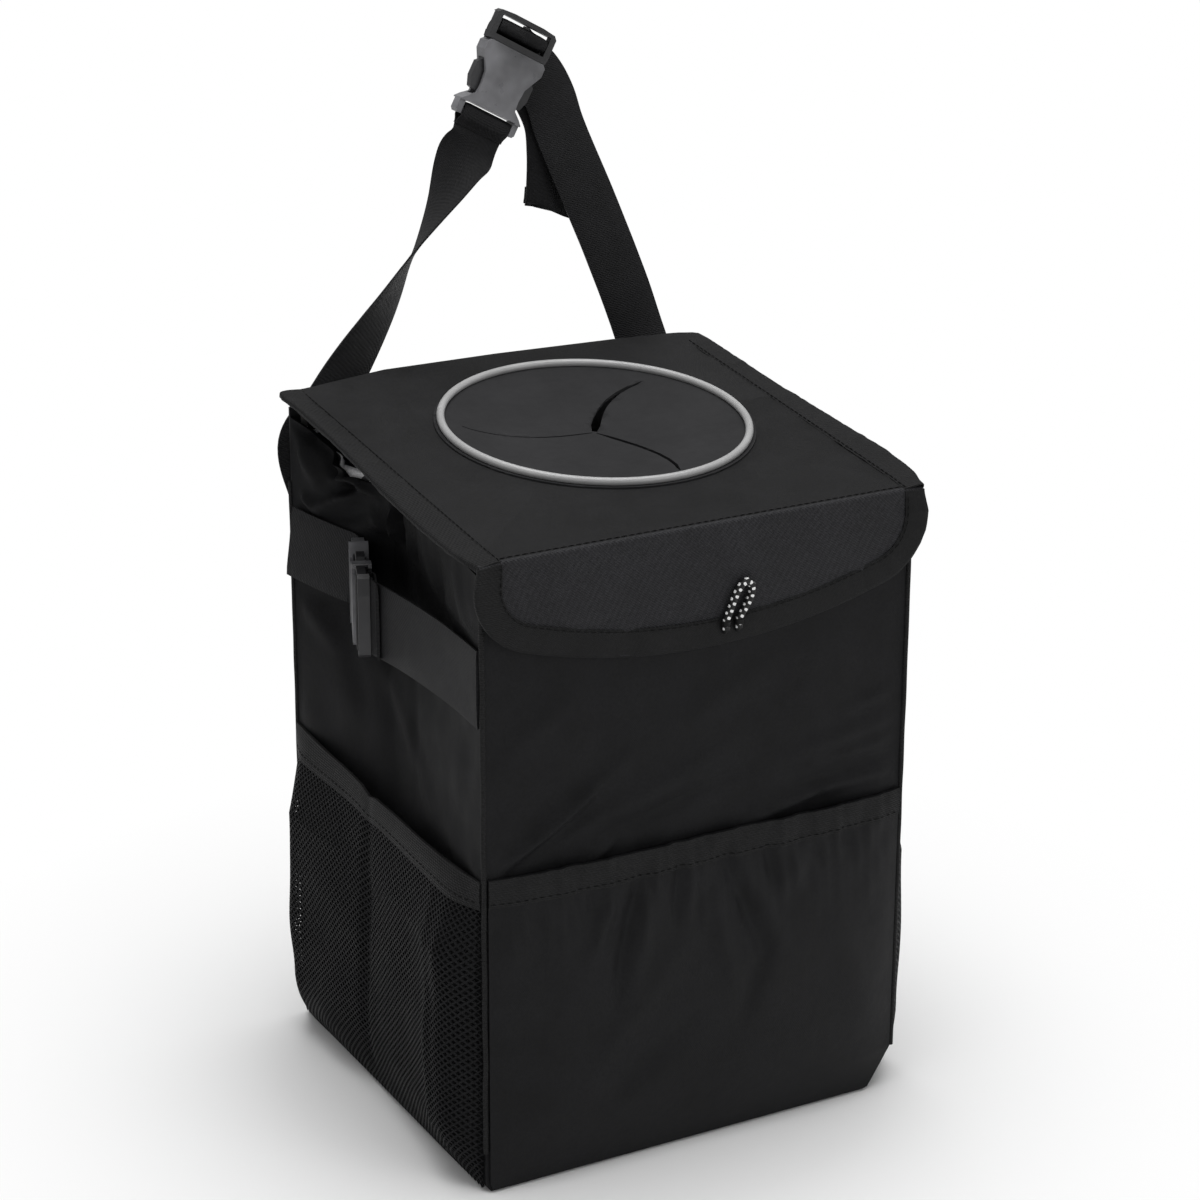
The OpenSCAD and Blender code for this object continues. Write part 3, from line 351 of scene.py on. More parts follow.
def boxy(node, name, mat, step=5.0, amp=0.0, length=40.0, bevel=0.0, move=None):
    """Cut a copy of a CAD node into small faces, round its edges and let it wave like cloth."""
    bm = bmesh.new()
    bm.from_mesh(nodes[node].data)
    bm.transform(nodes[node].matrix_world)
    bmesh.ops.remove_doubles(bm, verts=bm.verts, dist=1e-6)
    bmesh.ops.dissolve_limit(bm, angle_limit=math.radians(1), verts=bm.verts, edges=bm.edges)
    if bevel:
        sharp = [e for e in bm.edges if len(e.link_faces) == 2 and e.calc_face_angle(0) > 0.6]
        bmesh.ops.bevel(bm, geom=sharp, offset=bevel * 0.001, segments=2, affect="EDGES", clamp_overlap=True)
    lo = np.min([v.co for v in bm.verts], axis=0)
    hi = np.max([v.co for v in bm.verts], axis=0)
    for axis in range(3):
        cuts = int((hi[axis] - lo[axis]) * 1000 / step)
        for k in range(1, cuts):
            at, way = Vector((0, 0, 0)), Vector((0, 0, 0))
            at[axis] = lo[axis] + (hi[axis] - lo[axis]) * k / cuts
            way[axis] = 1
            everything = bm.verts[:] + bm.edges[:] + bm.faces[:]
            bmesh.ops.bisect_plane(bm, geom=everything, plane_co=at, plane_no=way, dist=1e-7)
    bmesh.ops.triangulate(bm, faces=[f for f in bm.faces if len(f.verts) > 4])
    layer = bm.loops.layers.uv.new("UVMap")
    for f in bm.faces:
        n = [abs(x) for x in f.normal]
        drop = n.index(max(n))
        a, b = [k for k in range(3) if k != drop]
        for loop in f.loops:
            loop[layer].uv = (loop.vert.co[a], loop.vert.co[b])
    mesh = bpy.data.meshes.new(name)
    bm.to_mesh(mesh)
    bm.free()
    co = np.array([v.co for v in mesh.vertices]) * 1000
    if amp:
        co = co + amp * np.stack([waves(s, length, co) for s in (11, 12, 13)], -1)
    if move:
        co = move(co)
    mesh.vertices.foreach_set("co", (co * 0.001).astype(np.float32).ravel())
    mesh.polygons.foreach_set("use_smooth", [True] * len(mesh.polygons))
    mesh.set_sharp_from_angle(angle=math.radians(40))
    mesh.materials.append(mat)
    obj = bpy.data.objects.new(name, mesh)
    bpy.context.scene.collection.objects.link(obj)
    return obj


def put(obj, body, slot, *stands_for):
    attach(obj, body)
    if stands_for:
        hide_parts(*stands_for)


def stitches(name, points, out, body, size=(2.2, 0.42), gap=1.3):
    """A row of stitches along points, each a short flat thread standing a little proud."""
    p = np.asarray(points, float)
    at = lengths(p[None], 1)[0]
    pitch = size[0] + gap
    verts, faces = [], []
    for k in range(int(at[-1] / pitch)):
        a, b = (k * pitch + gap / 2), (k * pitch + gap / 2 + size[0])
        ends = [np.array([np.interp(s, at, p[:, i]) for i in range(3)]) for s in (a, (a + b) / 2, b)]
        d = ends[2] - ends[0]
        d /= np.linalg.norm(d)
        o = np.array([np.interp((a + b) / 2, at, np.broadcast_to(out, p.shape)[:, i]) for i in range(3)])
        o -= d * (o @ d)
        o /= np.linalg.norm(o)
        w = np.cross(d, o)
        n = len(verts)
        for e, high, r in ((ends[0], 0.0, 0.55), (ends[1], 1.0, 1.0), (ends[2], 0.0, 0.55)):
            for g in np.arange(6) * math.pi / 3:
                turned = w * math.cos(g) + o * math.sin(g)
                verts.append(e + turned * size[1] / 2 * r + o * (0.16 * high - 0.05))
        for m in (n, n + 6):
            faces += [[m + j, m + (j + 1) % 6, m + 6 + (j + 1) % 6, m + 6 + j] for j in range(6)]
        faces += [[n + j for j in range(5, -1, -1)], [n + 12 + j for j in range(6)]]
    put(build(name, verts, faces, THREAD_AND_SHADE_M, np.array(verts)[:, [0, 2]]), body, "tape")


# The box
def corner_cut(hand, z):
    """How far the cut lower corner draws a side in at height z."""
    wide, high = (SMALL_W, SMALL_H) if hand < 0 else (CUT_W, CUT_H)
    return wide * np.maximum(0, 1 - z / high)


def lid_under(y):
    """Height of the lid's underside at depth y."""
    return FRONT_H + (y + HD) * TAN - LID_T / math.cos(TILT)


def rise(z):
    """Share of the side's fold that is reached at height z."""
    return np.clip((z - FOLD_FROM) / (FOLD_TO - FOLD_FROM), 0, 1)


def fold_y(z):
    return FOLD_BACK * rise(z)


def fold_in(y, z):
    """How far the side is drawn in, most of all along its upright fold."""
    k = fold_y(z)
    share = np.where(y > k, (SIDE_END - y) / (SIDE_END - k), (SIDE_END + y) / (SIDE_END + k))
    share = np.clip(share, 0, 1)
    tip = 1 - np.sqrt((1 - share) ** 2 + 0.03**2)
    depth = FOLD_LOW * np.minimum(1, z / FOLD_FROM) + (FOLD_HIGH - FOLD_LOW) * rise(z)
    return depth * np.clip(tip + 0.03 * share, 0, 1) ** 1.15


def side_top(y):
    """Height of the side's upper edge, which sags between the corners."""
    drop = np.interp(y / SIDE_END, [-1, -0.44, 0.22, 0.47, 0.58, 0.66, 0.7, 0.83, 0.93, 1],
                     [4, 13, 19, 22, 24, 24, 20, 14.5, 10, 7])
    return lid_under(y) - drop


def liner_top(y):
    """Height of the liner's edge: it shows only above the rear part of the sides."""
    share = np.interp(y / SIDE_END, [-1, 0.25, 0.35, 0.58, 0.64, 1], [-1, -1, 1.2, 1.2, -0.7, -0.7])
    return np.minimum(side_top(y) + 4 * share, FRONT_TOP - CLEAR + (y + HD - 4.9) * TAN)


def side_rows(w, v, end, low, top_of):
    """Depth and height of a side's points: level rows up to the fold's end, then up to the edge."""
    level = low + (FOLD_TO - low) * np.clip(v / SPLIT, 0, 1)
    k = fold_y(level)
    y = np.where(w < 0.5, -end + (k + end) * 2 * w, k + (end - k) * (2 * w - 1))
    return y, np.where(v < SPLIT, level, FOLD_TO + (top_of(y) - FOLD_TO) * (v - SPLIT) / (1 - SPLIT))


SIDE_FOLDS = (
    (91, 286, 73, 276, 2.2, -3.6), (74, 277, 66, 265, 2.2, -4.2), (87, 280, 76, 262, 4.5, 2.6),
    (68, 272, 62, 274, 3, 1.6), (68, 265, 58, 267, 1.8, 2.6), (60, 267, 46, 262, 2, 2.2),
    (66, 260, 57, 263, 2.2, -3.8), (84, 254, 76, 249, 2.6, 2.4), (77, 249, 66, 256, 2.4, 2.8),
    (66, 256, 54, 261, 2.4, 2.6), (73, 243, 50, 256, 4, -2.0), (50, 254, 42, 244, 3, 1.6),
    (36, 268, 32, 236, 2.2, 2.6), (32, 270, 27, 232, 1.8, -2.6), (27, 268, 22, 238, 2.4, 1.6),
    (40, 266, 27, 236, 4, 1.8), (33, 262, 20, 236, 3.6, -1.6), (18, 264, 9, 226, 4, 2.2),
    (26, 262, 14, 214, 4, -1.5), (4, 262, -2, 200, 4.5, -1.6), (-8, 266, -38, 238, 5, 1.5),
    (-30, 268, -46, 225, 5, -1.3), (-58, 268, -80, 238, 5, 1.3), (-48, 262, -60, 200, 6, 1.0),
    (84, 204, 56, 186, 6, 1.4), (70, 205, 34, 165, 6, -1.0), (35, 190, -35, 152, 5, 1.2),
    (-70, 205, -60, 150, 7, 0.8), (10, 205, -20, 150, 5, -0.9),
)
FRONT_FOLDS = (
    (-96, 144, -52, 172, 4, 1.5), (-90, 145, -50, 165, 3, -1.2), (-84, 151, -34, 184, 5, 1.1),
    (-64, 154, 12, 178, 6, 1.0), (-40, 152, 22, 168, 4, -0.8), (36, 149, 97, 153, 3, 1.0),
    (46, 155, 97, 160, 3, -0.8), (20, 142, 60, 151, 3.5, 1.0), (38, 168, 96, 177, 5, 0.9),
    (56, 163, 97, 168, 3, 0.7), (-38, 152, -52, 140, 3, 0.9), (-97, 190, -60, 214, 7, 0.6),
    (70, 184, 97, 190, 3.5, 0.6), (-20, 190, 40, 214, 9, 0.6),
)


def side_creases(p):
    """Soft folds of a side strip, in mm outwards: p holds depth and height."""
    y, z = p[..., 1], p[..., 2]
    edge = np.clip((SIDE_END - np.abs(y)) / 8, 0, 1)
    out = 0.6 * waves(3, 60, p) + 0.3 * waves(4, 22, p) + ridges(p, SIDE_FOLDS, raised=1.2)
    under = 1 - 0.8 * smooth(z, FOLD_TO - 6, FOLD_TO) * (1 - smooth(z, 243, 248))
    return out * edge * under * smooth(z, 1, 12)


def side_strip(hand):
    w, v = np.meshgrid(np.linspace(0, 1, 141), np.linspace(0, 1, 161))
    y, z = side_rows(w, v, SIDE_END, CLOTH, side_top)
    z = z + 0.9 * smooth(v, 0.9, 1) * waves(21 + hand, 17, y[..., None] * [1, 0, 0])
    p = np.stack([hand * (HW - corner_cut(hand, z) - fold_in(y, z)), y, z], -1)
    p[..., 0] += hand * side_creases(p)
    return p if hand > 0 else p[:, ::-1]


for hand, side in SIDES:
    p = side_strip(hand)
    put(slab(f"{side}_side_cloth", p, p - [hand * CLOTH, 0, 0], SIDE_SHADED_M), "bin", "cloth", f"{side}_gusset")


def wall_grid(y, top):
    """Points of the front's or the back's cloth, within the cut lower corners."""
    u, v = np.meshgrid(np.linspace(0, 1, 151), np.linspace(0, 1, 151))
    z = CLOTH + (top - CLOTH) * v
    x = (-HW + corner_cut(-1, z)) * (1 - u) + (HW - corner_cut(1, z)) * u
    return np.stack([x, np.full_like(x, y), z], -1)


def looseness(p):
    """How free a wall's cloth is to move: not at all at its upright edges."""
    return np.clip((HW - np.abs(p[..., 0])) / 12, 0, 1)


def front_wall():
    p = wall_grid(-HD, FRONT_TOP)
    wave = 0.4 * waves(31, 55, p) + 0.16 * waves(32, 16, p * [1, 1, 0.35]) * smooth(p[..., 2], 250, 150)
    wave += ridges(p, FRONT_FOLDS, (0, 2), widen=0.85, raised=1.7)
    p[..., 1] -= np.maximum(0.05, wave + 0.9) * looseness(p)
    put(slab("front_cloth", p, p + [0, CLOTH, 0], CLOTH_M), "bin", "cloth", "front_panel")


def back_wall():
    p = wall_grid(HD, BACK_TOP)
    p[..., 1] += (0.4 * waves(34, 60, p) + 0.12 * waves(35, 18, p) + 0.1) * looseness(p)
    put(slab("back_cloth", p[:, ::-1], p[:, ::-1] - [0, CLOTH, 0], CLOTH_M), "bin", "cloth", "back_panel")


front_wall()
back_wall()
base = boxy("base_panel", "base_cloth", CLOTH_M, step=6, bevel=0.3)
put(base, "bin", "cloth", "base_panel")


# The liner
def liner_wall(inset, low, rows=100, z_from=None):
    """Rings of the liner, inset from the cloth; z_from starts them that far under the liner's edge."""
    rings = []
    for hand in (1, -1):
        w, v = np.meshgrid(np.linspace(0, 1, 91)[::hand], np.linspace(0, 1, rows))
        y, z = side_rows(w, v, HD - 3.2 - inset, low, liner_top)
        if z_from is not None:
            z = liner_top(y) - z_from * (1 - v)
        half = HW - corner_cut(hand, z) - fold_in(y, z)
        give = np.minimum(0, side_creases(np.stack([hand * half, y, z], -1)) - 0.2)
        rings.append(np.stack([hand * (half - CLOTH - CLEAR - inset + give), y, z], -1))
    return np.concatenate(rings, axis=1)


def crumple(p):
    """Push the liner's long sides inwards in soft dents."""
    near = np.clip((86 - np.abs(p[..., 1])) / 10, 0, 1)
    size = (0.9 + waves(41, 34, p) + 0.5 * waves(42, 13, p)) * 0.7
    p = p.copy()
    p[..., 0] -= np.sign(p[..., 0]) * np.clip(size, 0, 3) * near
    return p


def liner_pieces():
    outer, inner = liner_wall(0, 3.7), liner_wall(0.6, 4.3)
    r, c = outer.shape[:2]
    n = r * c
    at, beside, quads = ring_grid(r, c)
    brim = np.stack([at[-1], beside[-1], beside[-1] + n, at[-1] + n], -1)
    faces = [*quads, *(quads[:, ::-1] + n), *brim, list(at[0][::-1]), list(at[0] + n)]
    verts = np.concatenate([crumple(outer).reshape(-1, 3), crumple(inner).reshape(-1, 3)])
    liner = build("liner_cloth", verts, faces, LINER_M, np.tile(grid_uv(outer), (2, 1)))
    put(liner, "bin", "liner", "liner")
    a, b = (crumple(liner_wall(inset, 4.3, rows=4, z_from=LINER_HEM)) for inset in (0.6, 0.6 + TAPE))
    put(slab("liner_hem_tape", b, a, HEM_M, closed=True), "bin", "hem", "liner_hem")


liner_pieces()
for name, step, length, bevel in (("front_rim", 4, 30, 0.25), ("back_rim", 4, 30, 0.25),
                                  ("corner_piping", 3, 22, 0), ("hinge_roll", 3, 22, 0)):
    tape = boxy(name, f"{name}_tape", TAPE_M, step=step, amp=0.12, length=length, bevel=bevel)
    put(tape, "bin", "tape", name)


# The pockets
POCKET_FOLDS = (
    (-31, 133, -44, 77, 3.6, -2.3), (-24, 133, -35, 82, 4.5, 1.4), (-41, 133, -55, 98, 4, 1.6),
    (9, 133, 29, 84, 4, -2.4), (29, 88, 19, 58, 5, -1.5), (17, 133, 37, 88, 4.5, 1.5),
    (0, 131, 13, 76, 5, 1.4), (-12, 134, -14, 110, 2.8, -1.6), (-6, 133, -8, 108, 3, 1.0),
    (-55, 133, -50, 113, 2.8, -1.5), (-63, 133, -61, 110, 3, 1.0), (-83, 131, -75, 119, 2.4, -1.1),
    (30, 134, 33, 118, 2.4, -1.2), (52, 133, 57, 120, 2.4, -1.0), (69, 133, 75, 119, 2.4, -0.9),
    (85, 132, 89, 117, 3, -0.7), (41, 133, 46, 112, 3.4, 0.8), (-54, 48, -12, 96, 7, 1.4),
    (-48, 34, -8, 60, 6, -1.4), (-97, 72, -88, 44, 4, 0.9), (-81, 129, -93, 102, 5, 1.1),
    (60, 104, 86, 38, 9, 0.9), (-72, 96, -84, 60, 8, -0.8),
)


def pocket_off(s, z, x):
    """How far the front pocket stands off the wall, with its gathers and its drape."""
    full = np.sin(math.pi / 2 * np.minimum(1, (z - CLOTH) / 45))
    top = np.maximum(0, (z - POCKET_H + 60) / 60)
    middle = 1 - np.abs(s) ** 6
    q = flat_points(x, z, 1)
    puff = waves(51, 16, q * [1, 1, 0.22]) + 0.6 * waves(52, 7.5, q * [1, 1, 0.3])
    gathers = 0.62 * puff * smooth(z, POCKET_H - 60, POCKET_H - 12) * (1 - np.abs(s) ** 8)
    drape = (ridges(q, POCKET_FOLDS, (0, 2)) + 0.5 * waves(53, 60, q)) * middle * full
    return (7 - 3.4 * top) * middle * full + (gathers + drape) * np.minimum(1, (z - CLOTH) / 45 * 2)


def pocket_grid(z_low, z_high, cols, rows):
    u, v = np.meshgrid(np.linspace(0, 1, cols + 1), np.linspace(0, 1, rows + 1))
    z = z_low + (z_high - z_low) * v
    side = HW - 1.4
    x = (corner_cut(-1, z) - side) * (1 - u) + (side - corner_cut(1, z)) * u
    off = np.maximum(0.05, pocket_off(2 * u - 1, z, x))
    return np.stack([x, -HD - off, z], -1)


def front_pocket():
    p = pocket_grid(CLOTH, POCKET_H, 220, 110)
    put(slab("pocket_cloth", p - [0, CLOTH, 0], p, POCKET_M), "bin", "cloth", "front_pocket")
    p = pocket_grid(CLOTH + (POCKET_H - CLOTH) * 0.915, POCKET_H, 220, 8)
    rolled = p.copy()
    rolled[..., 1] -= CLOTH + TAPE * 0.8 + 0.35 * np.sin(np.linspace(0, math.pi, 9))[:, None]
    put(slab("pocket_hem_tape", rolled, p - [0, CLOTH, 0], TAPE_M), "bin", "tape", "front_pocket_hem")
    stitches("pocket_hem_stitch", p[1] - [0, CLOTH + TAPE + 0.05, 0], (0, -1, 0), "bin")


front_pocket()


def mesh_off(y, z):
    """How far a side pocket's net stands off the side: it bellies out beside the corners."""
    s = np.minimum(1, np.abs(y) / SIDE_END)
    body = np.where(s < 0.8, 6 + 7 * (s / 0.8) ** 1.5, 13 * np.sin(math.pi / 2 * (1 - s) / 0.2))
    hem = 2.2 * (1 - s**6)
    down = np.minimum(1, (MESH_H - z) / 35)
    low = np.clip((z - CLOTH) / 30, 0, 1)
    return (hem * (1 - down) + body * down) * np.sin(math.pi / 2 * low)


def mesh_surface(hand, y, z):
    """Points of a net or its hem, with its slack and its raised upper edge."""
    cut = corner_cut(1, z) if hand > 0 else 0
    q = flat_points(y, z, 0)
    folds = ridge(q, (8, 134), (12, 15), 4, -2.2) + ridge(q, (-60, 120), (-66, 10), 4, 1.4)
    slack = (0.8 * waves(61 + hand, 42, q) + folds) * np.clip(mesh_off(y, z) / 2.2, 0, 1)
    high = np.interp(y / SIDE_END, [-1, -0.4, 0.02, 0.1, 0.18, 0.7, 1], [3.5, 4, 5, 3.2, 5.5, 6.5, 7])
    x = hand * (HW - cut + mesh_off(y, z) + 0.8 + slack)
    return np.stack([x, y, z + high * smooth(z, 40, 128)], -1)


def netting(name, hand):
    """A knitted net: diamond holes in staggered rows, as one closed solid."""
    cols, rows = 60, 42
    z_top = MESH_H - HEM_H + 1
    cell = np.array([2 * SIDE_END / cols, (z_top - CLOTH) / rows])
    centres = [(i + 0.5, j + 0.5) for j in range(rows) for i in range(cols)]
    centres += [(i, j) for j in range(1, rows) for i in range(1, cols)]
    knots, hole = np.array([(-0.5, 0), (0, -0.5), (0.5, 0), (0, 0.5)]), 0.66
    flat, known, cells = [], {}, []

    def spot(a, b):
        key = (round(a, 4), round(b, 4))
        if key not in known:
            known[key] = len(flat)
            flat.append((a, b))
        return known[key]

    for a, b in centres:
        ring = [spot(a + da, b + db) for da, db in knots]
        cells.append(ring + list(range(len(flat), len(flat) + 4)))
        flat.extend((a + da * hole, b + db * hole) for da, db in knots)
    flat = np.array(flat)
    y = np.clip(hand * (flat[:, 0] * cell[0] - SIDE_END), -SIDE_END, SIDE_END)
    front = mesh_surface(hand, y, np.clip(CLOTH + flat[:, 1] * cell[1], CLOTH, z_top))
    n = len(front)
    ring, rim = np.hsplit(np.array(cells), 2)
    ring_next, rim_next = np.roll(ring, -1, axis=1), np.roll(rim, -1, axis=1)
    quads = np.stack([ring, ring_next, rim_next, rim], -1).reshape(-1, 4)
    walls = np.stack([rim, rim_next, rim_next + n, rim + n], -1).reshape(-1, 4)
    faces = np.concatenate([quads, quads[:, ::-1] + n, walls])
    verts = np.concatenate([front, front - [hand * 0.6, 0, 0]])
    return build(name, verts, faces, MESH_M, np.tile(flat * cell, (2, 1)), smoothed=False)


def mesh_pocket(hand, side):
    put(netting(f"{side}_net", hand), "bin", "mesh", f"{side}_mesh_pocket")
    w, v = np.meshgrid(np.linspace(0, 1, 111), np.linspace(0, 1, 9))
    p = mesh_surface(hand, hand * SIDE_END * (2 * w - 1), MESH_H - HEM_H * (1 - v))
    lift = (0.35 + 0.45 * np.sin(math.pi * v))[..., None] * [hand, 0, 0]
    hem = slab(f"{side}_net_hem", p + lift, p - [hand * TAPE, 0, 0], TAPE_M)
    put(hem, "bin", "tape", f"{side}_mesh_hem")
    stitches(f"{side}_net_hem_stitch", p[2] + lift[2] + [hand * 0.05, 0, 0], (hand, 0, 0), "bin")


for hand, side in SIDES:
    mesh_pocket(hand, side)


# The lid
LID_LEN = 2 * HD / math.cos(TILT)
INNER_HALF, INNER_LEN = FLAP_HALF - TAPE, LID_LEN - TAPE
UP = np.array([0, -math.sin(TILT), math.cos(TILT)])


def on_lid(x, s, h):
    """Point x across, s back from the lid's front edge and h above its top face, in mm."""
    y = -HD + s * math.cos(TILT) - h * math.sin(TILT)
    z = FRONT_H + s * math.sin(TILT) + h * math.cos(TILT)
    return np.stack(np.broadcast_arrays(x, y, z), -1)


def edge_lift(x, s):
    """How far the lid's soft edges droop or curl, in mm, at x across and s back from the front edge."""
    out = smooth(np.abs(x), FLAP_HALF - 13, FLAP_HALF)
    left = np.interp(s, [0, 15, 45, 80, 100, 130, 165, 185], [-0.6, -2.2, -2.8, -1.6, 0.2, 1.8, 1.9, 0.6])
    right = np.interp(s, [0, 10, 30, 75, 115, 185], [1.4, 2.0, 2.8, 1.3, 0.1, -0.2])
    return out * np.where(x < 0, left, right)


def lining_drop(x):
    """Extra depth of the lining where it steps down under the board."""
    return 2 * (1 - smooth(np.abs(x), FLAP_HALF - 15, FLAP_HALF - BINDING - CLEAR))


def lid_layer(name, depth, t, front, mat, bulge=0.0, step=False):
    """A lid layer with its round opening: rings of points from the opening out to the square edge."""
    a = np.linspace(0, 2 * math.pi, 288, endpoint=False)
    hole = RING_R - 3 + CLEAR
    dx, dy = np.cos(a), np.sin(a)

    def reach(d, low, high):
        return np.where(d > 0, high / np.maximum(d, 1e-9), low / np.minimum(d, -1e-9))

    across = reach(dx, -INNER_HALF - RING_X, INNER_HALF - RING_X)
    edge = np.minimum(across, reach(dy, front - RING_Y, INNER_LEN - RING_Y))
    rad = hole + (edge - hole)[None] * np.linspace(0, 1, 90)[:, None]
    x, y = RING_X + rad * dx, RING_Y + rad * dy
    q = flat_points(x, y, 2)
    fade = np.clip(np.minimum(INNER_HALF - np.abs(x), np.minimum(INNER_LEN - y, y - front)) / 12, 0, 1)
    near = np.clip((rad - 69) / 12, 0, 1)
    h = bulge * (0.6 * waves(71, 70, q) + 0.3 * waves(72, 24, q)) * fade * near
    if bulge:
        risen = np.interp(x, [-105, -88, -55, 0, 60, 100], [0, 1.2, 4.2, 4, 2.6, 1])
        h = h + risen * smooth(y, LID_LEN - 24, LID_LEN)
    low = edge_lift(x, y) - depth - (lining_drop(x) if step else 0)
    return slab(name, on_lid(x, y, h + low), on_lid(x, y, low - t), mat, closed=True)


put(lid_layer("lid_cloth", 0, CLOTH, -3.2, TOP_LIT_M, bulge=0.45), "lid", "cloth", "lid_cover")
put(lid_layer("lid_lining_cloth", CLOTH, TAPE, 0.0, LINING_M, step=True), "lid", "lining", "lid_lining")
# Cloth from inside the hinge roll to the lid's rear edge
x = np.linspace(-90, 90, 61)
fold = np.stack([x[:, None] * [1, 0, 0] + [0, HD + 1, HINGE_Z], on_lid(x, INNER_LEN - 1.2, -3.6)])
put(slab("hinge_fold", fold + [0, 0.15, 0.3], fold - [0, 0.15, 0.3], TAPE_M), "lid", "tape")

CORNER_Z = FLAP_LOW + FLAP_R - math.sqrt((FLAP_R - CORNER_R) ** 2 - (FLAP_HALF - CORNER_R) ** 2)
CORNER_TILT = math.asin((FLAP_HALF - CORNER_R) / (FLAP_R - CORNER_R))


def flap_edge(inset, count=40):
    """The flap's outline from its left top, round the bottom, to its right top."""
    r, top_z = CORNER_R - inset, FRONT_H - CLOTH
    left = [(-FLAP_HALF + inset, z) for z in np.linspace(top_z, CORNER_Z, 8)[:-1]]
    corner = [(-(FLAP_HALF - CORNER_R) + r * math.cos(a), CORNER_Z + r * math.sin(a))
              for a in np.linspace(math.pi, 1.5 * math.pi - CORNER_TILT, 14)]
    low = [((FLAP_R - inset) * math.sin(a), FLAP_LOW + FLAP_R - (FLAP_R - inset) * math.cos(a))
           for a in np.linspace(-CORNER_TILT, CORNER_TILT, count)[1:-1]]
    right = [(-x, z) for x, z in (left + corner)[::-1]]
    return np.array(left + corner + low + right)


def flap_piece():
    edge = flap_edge(TAPE)
    below = edge[np.argsort(edge[:, 0])]
    x = np.linspace(-1, 1, 161)
    x = np.sign(x) * (1 - (1 - np.abs(x)) ** 1.35) * INNER_HALF
    z_low = np.interp(x, below[:, 0], below[:, 1])
    z_low[[0, -1]] = CORNER_Z
    v = np.linspace(0, 1, 70)[:, None]
    turn, top_z = 0.06, FRONT_H - 1.9
    ang = np.clip(v / turn, 0, 1) * math.pi / 2
    z = np.where(v < turn, top_z + 1.6 * np.cos(ang), top_z + (z_low - top_z) * (v - turn) / (1 - turn))
    x, y, z = np.broadcast_arrays(x, FLAP_Y - CLOTH + 1.9 * (1 - np.sin(ang)), z)
    lean = 0.5 * waves(81, 70, np.stack([x, y, z], -1)) * smooth(v, 0.1, 0.5)
    p = np.stack([x, y - np.abs(lean) * 0.4, z], -1)[:, ::-1]
    out = unit(np.cross(np.gradient(p, axis=1), np.gradient(p, axis=0)))
    put(slab("flap_cloth", p, p - out * CLOTH, TWILL_M), "lid", "twill", "lid_flap")


flap_piece()


def bind(name, path, inward, out, half_t, mat=TAPE_M, seed=5, follow=None):
    """Tape folded over an edge: path runs along the edge, inward points into the cloth."""
    path, inward, out = (np.asarray(k, float) for k in (path, inward, out))
    inward, out = np.broadcast_to(inward, path.shape)[:, None], np.broadcast_to(out, path.shape)[:, None]
    s = np.concatenate([np.linspace(1, 0.12, 9), [0.03, 0.0, 0.0, 0.0, 0.03], np.linspace(0.12, 1, 9)])
    side = np.concatenate([np.ones(9), [0.85, 0.45, 0, -0.45, -0.85], -np.ones(9)])
    puff = 0.5 * np.sin(math.pi * np.clip(s, 0, 1)) ** 0.5
    uneven = 0.18 * waves(seed, 9, path)[:, None] + 0.12 * waves(seed + 1, 4.5, path)[:, None]
    height = (side * (half_t + TAPE * 0.55 + puff * 0.55))[None] + side[None] * uneven
    outer = path[:, None] + inward * (s * BINDING)[None, :, None] + out * height[..., None]
    inner = path[:, None] + inward * (np.maximum(s, 0.05) * BINDING)[None, :, None]
    inner = inner + out * (side * (half_t - 0.05))[None, :, None]
    if follow:
        outer, inner = (k + follow(k[..., 0], k[..., 1]) for k in (outer, inner))
    return slab(name, outer, inner, mat)


def flap_binding():
    y = FLAP_Y - CLOTH / 2
    edge, inside = (flat_points(*flap_edge(inset, 60).T, 1) + [0, y, 0] for inset in (0.0, BINDING))
    inward = unit(inside - edge)
    put(bind("flap_binding", edge, inward, (0, -1, 0), CLOTH / 2), "lid", "tape", "lid_binding")
    # Real stitches, set close in the darkened thread, which also stand as painted shade of the sewn groove
    # along the binding's inner edge.
    line = edge + inward * (BINDING - 0.9) + [0, -CLOTH / 2 - TAPE - 0.35, 0]
    stitches("flap_stitch", line, (0, -1, 0), "lid", size=(2.6, 0.5), gap=0.8)


def side_binding(hand, side):
    """The tape on the lid's side edge, which droops and curls with it."""
    s = np.linspace(-4.6, LID_LEN - 0.2, 90)
    edge_x, edge_t = hand * FLAP_HALF, CLOTH + TAPE

    def follow(x, y):
        back = (y + HD) / math.cos(TILT)
        return (edge_lift(x, back) - edge_lift(edge_x, back))[..., None] * UP

    path = on_lid(edge_x, s, edge_lift(edge_x, s) - edge_t / 2)
    tape = bind(f"{side}_lid_binding", path, (-hand, 0, 0), UP, edge_t / 2 - 0.25, EDGE_M, 8 + hand, follow)
    put(tape, "lid", "tape")
    # Real stitches, set close in the darkened thread, which also stand as painted shade of the sewn groove
    # along the side binding's inner edge.
    row_x = hand * (FLAP_HALF - BINDING + 0.9)
    row = on_lid(row_x, s, edge_lift(row_x, s) + TAPE * 0.55 + 0.2)
    stitches(f"{side}_lid_stitch", row, UP, "lid", size=(2.6, 0.5), gap=0.8)


flap_binding()
for hand, side in SIDES:
    side_binding(hand, side)
x = np.linspace(-FLAP_HALF + BINDING, FLAP_HALF - BINDING, 60)
stitches("flap_seam", on_lid(x, -2.2, 0.1), UP, "lid", size=(2.8, 0.5), gap=0.6)


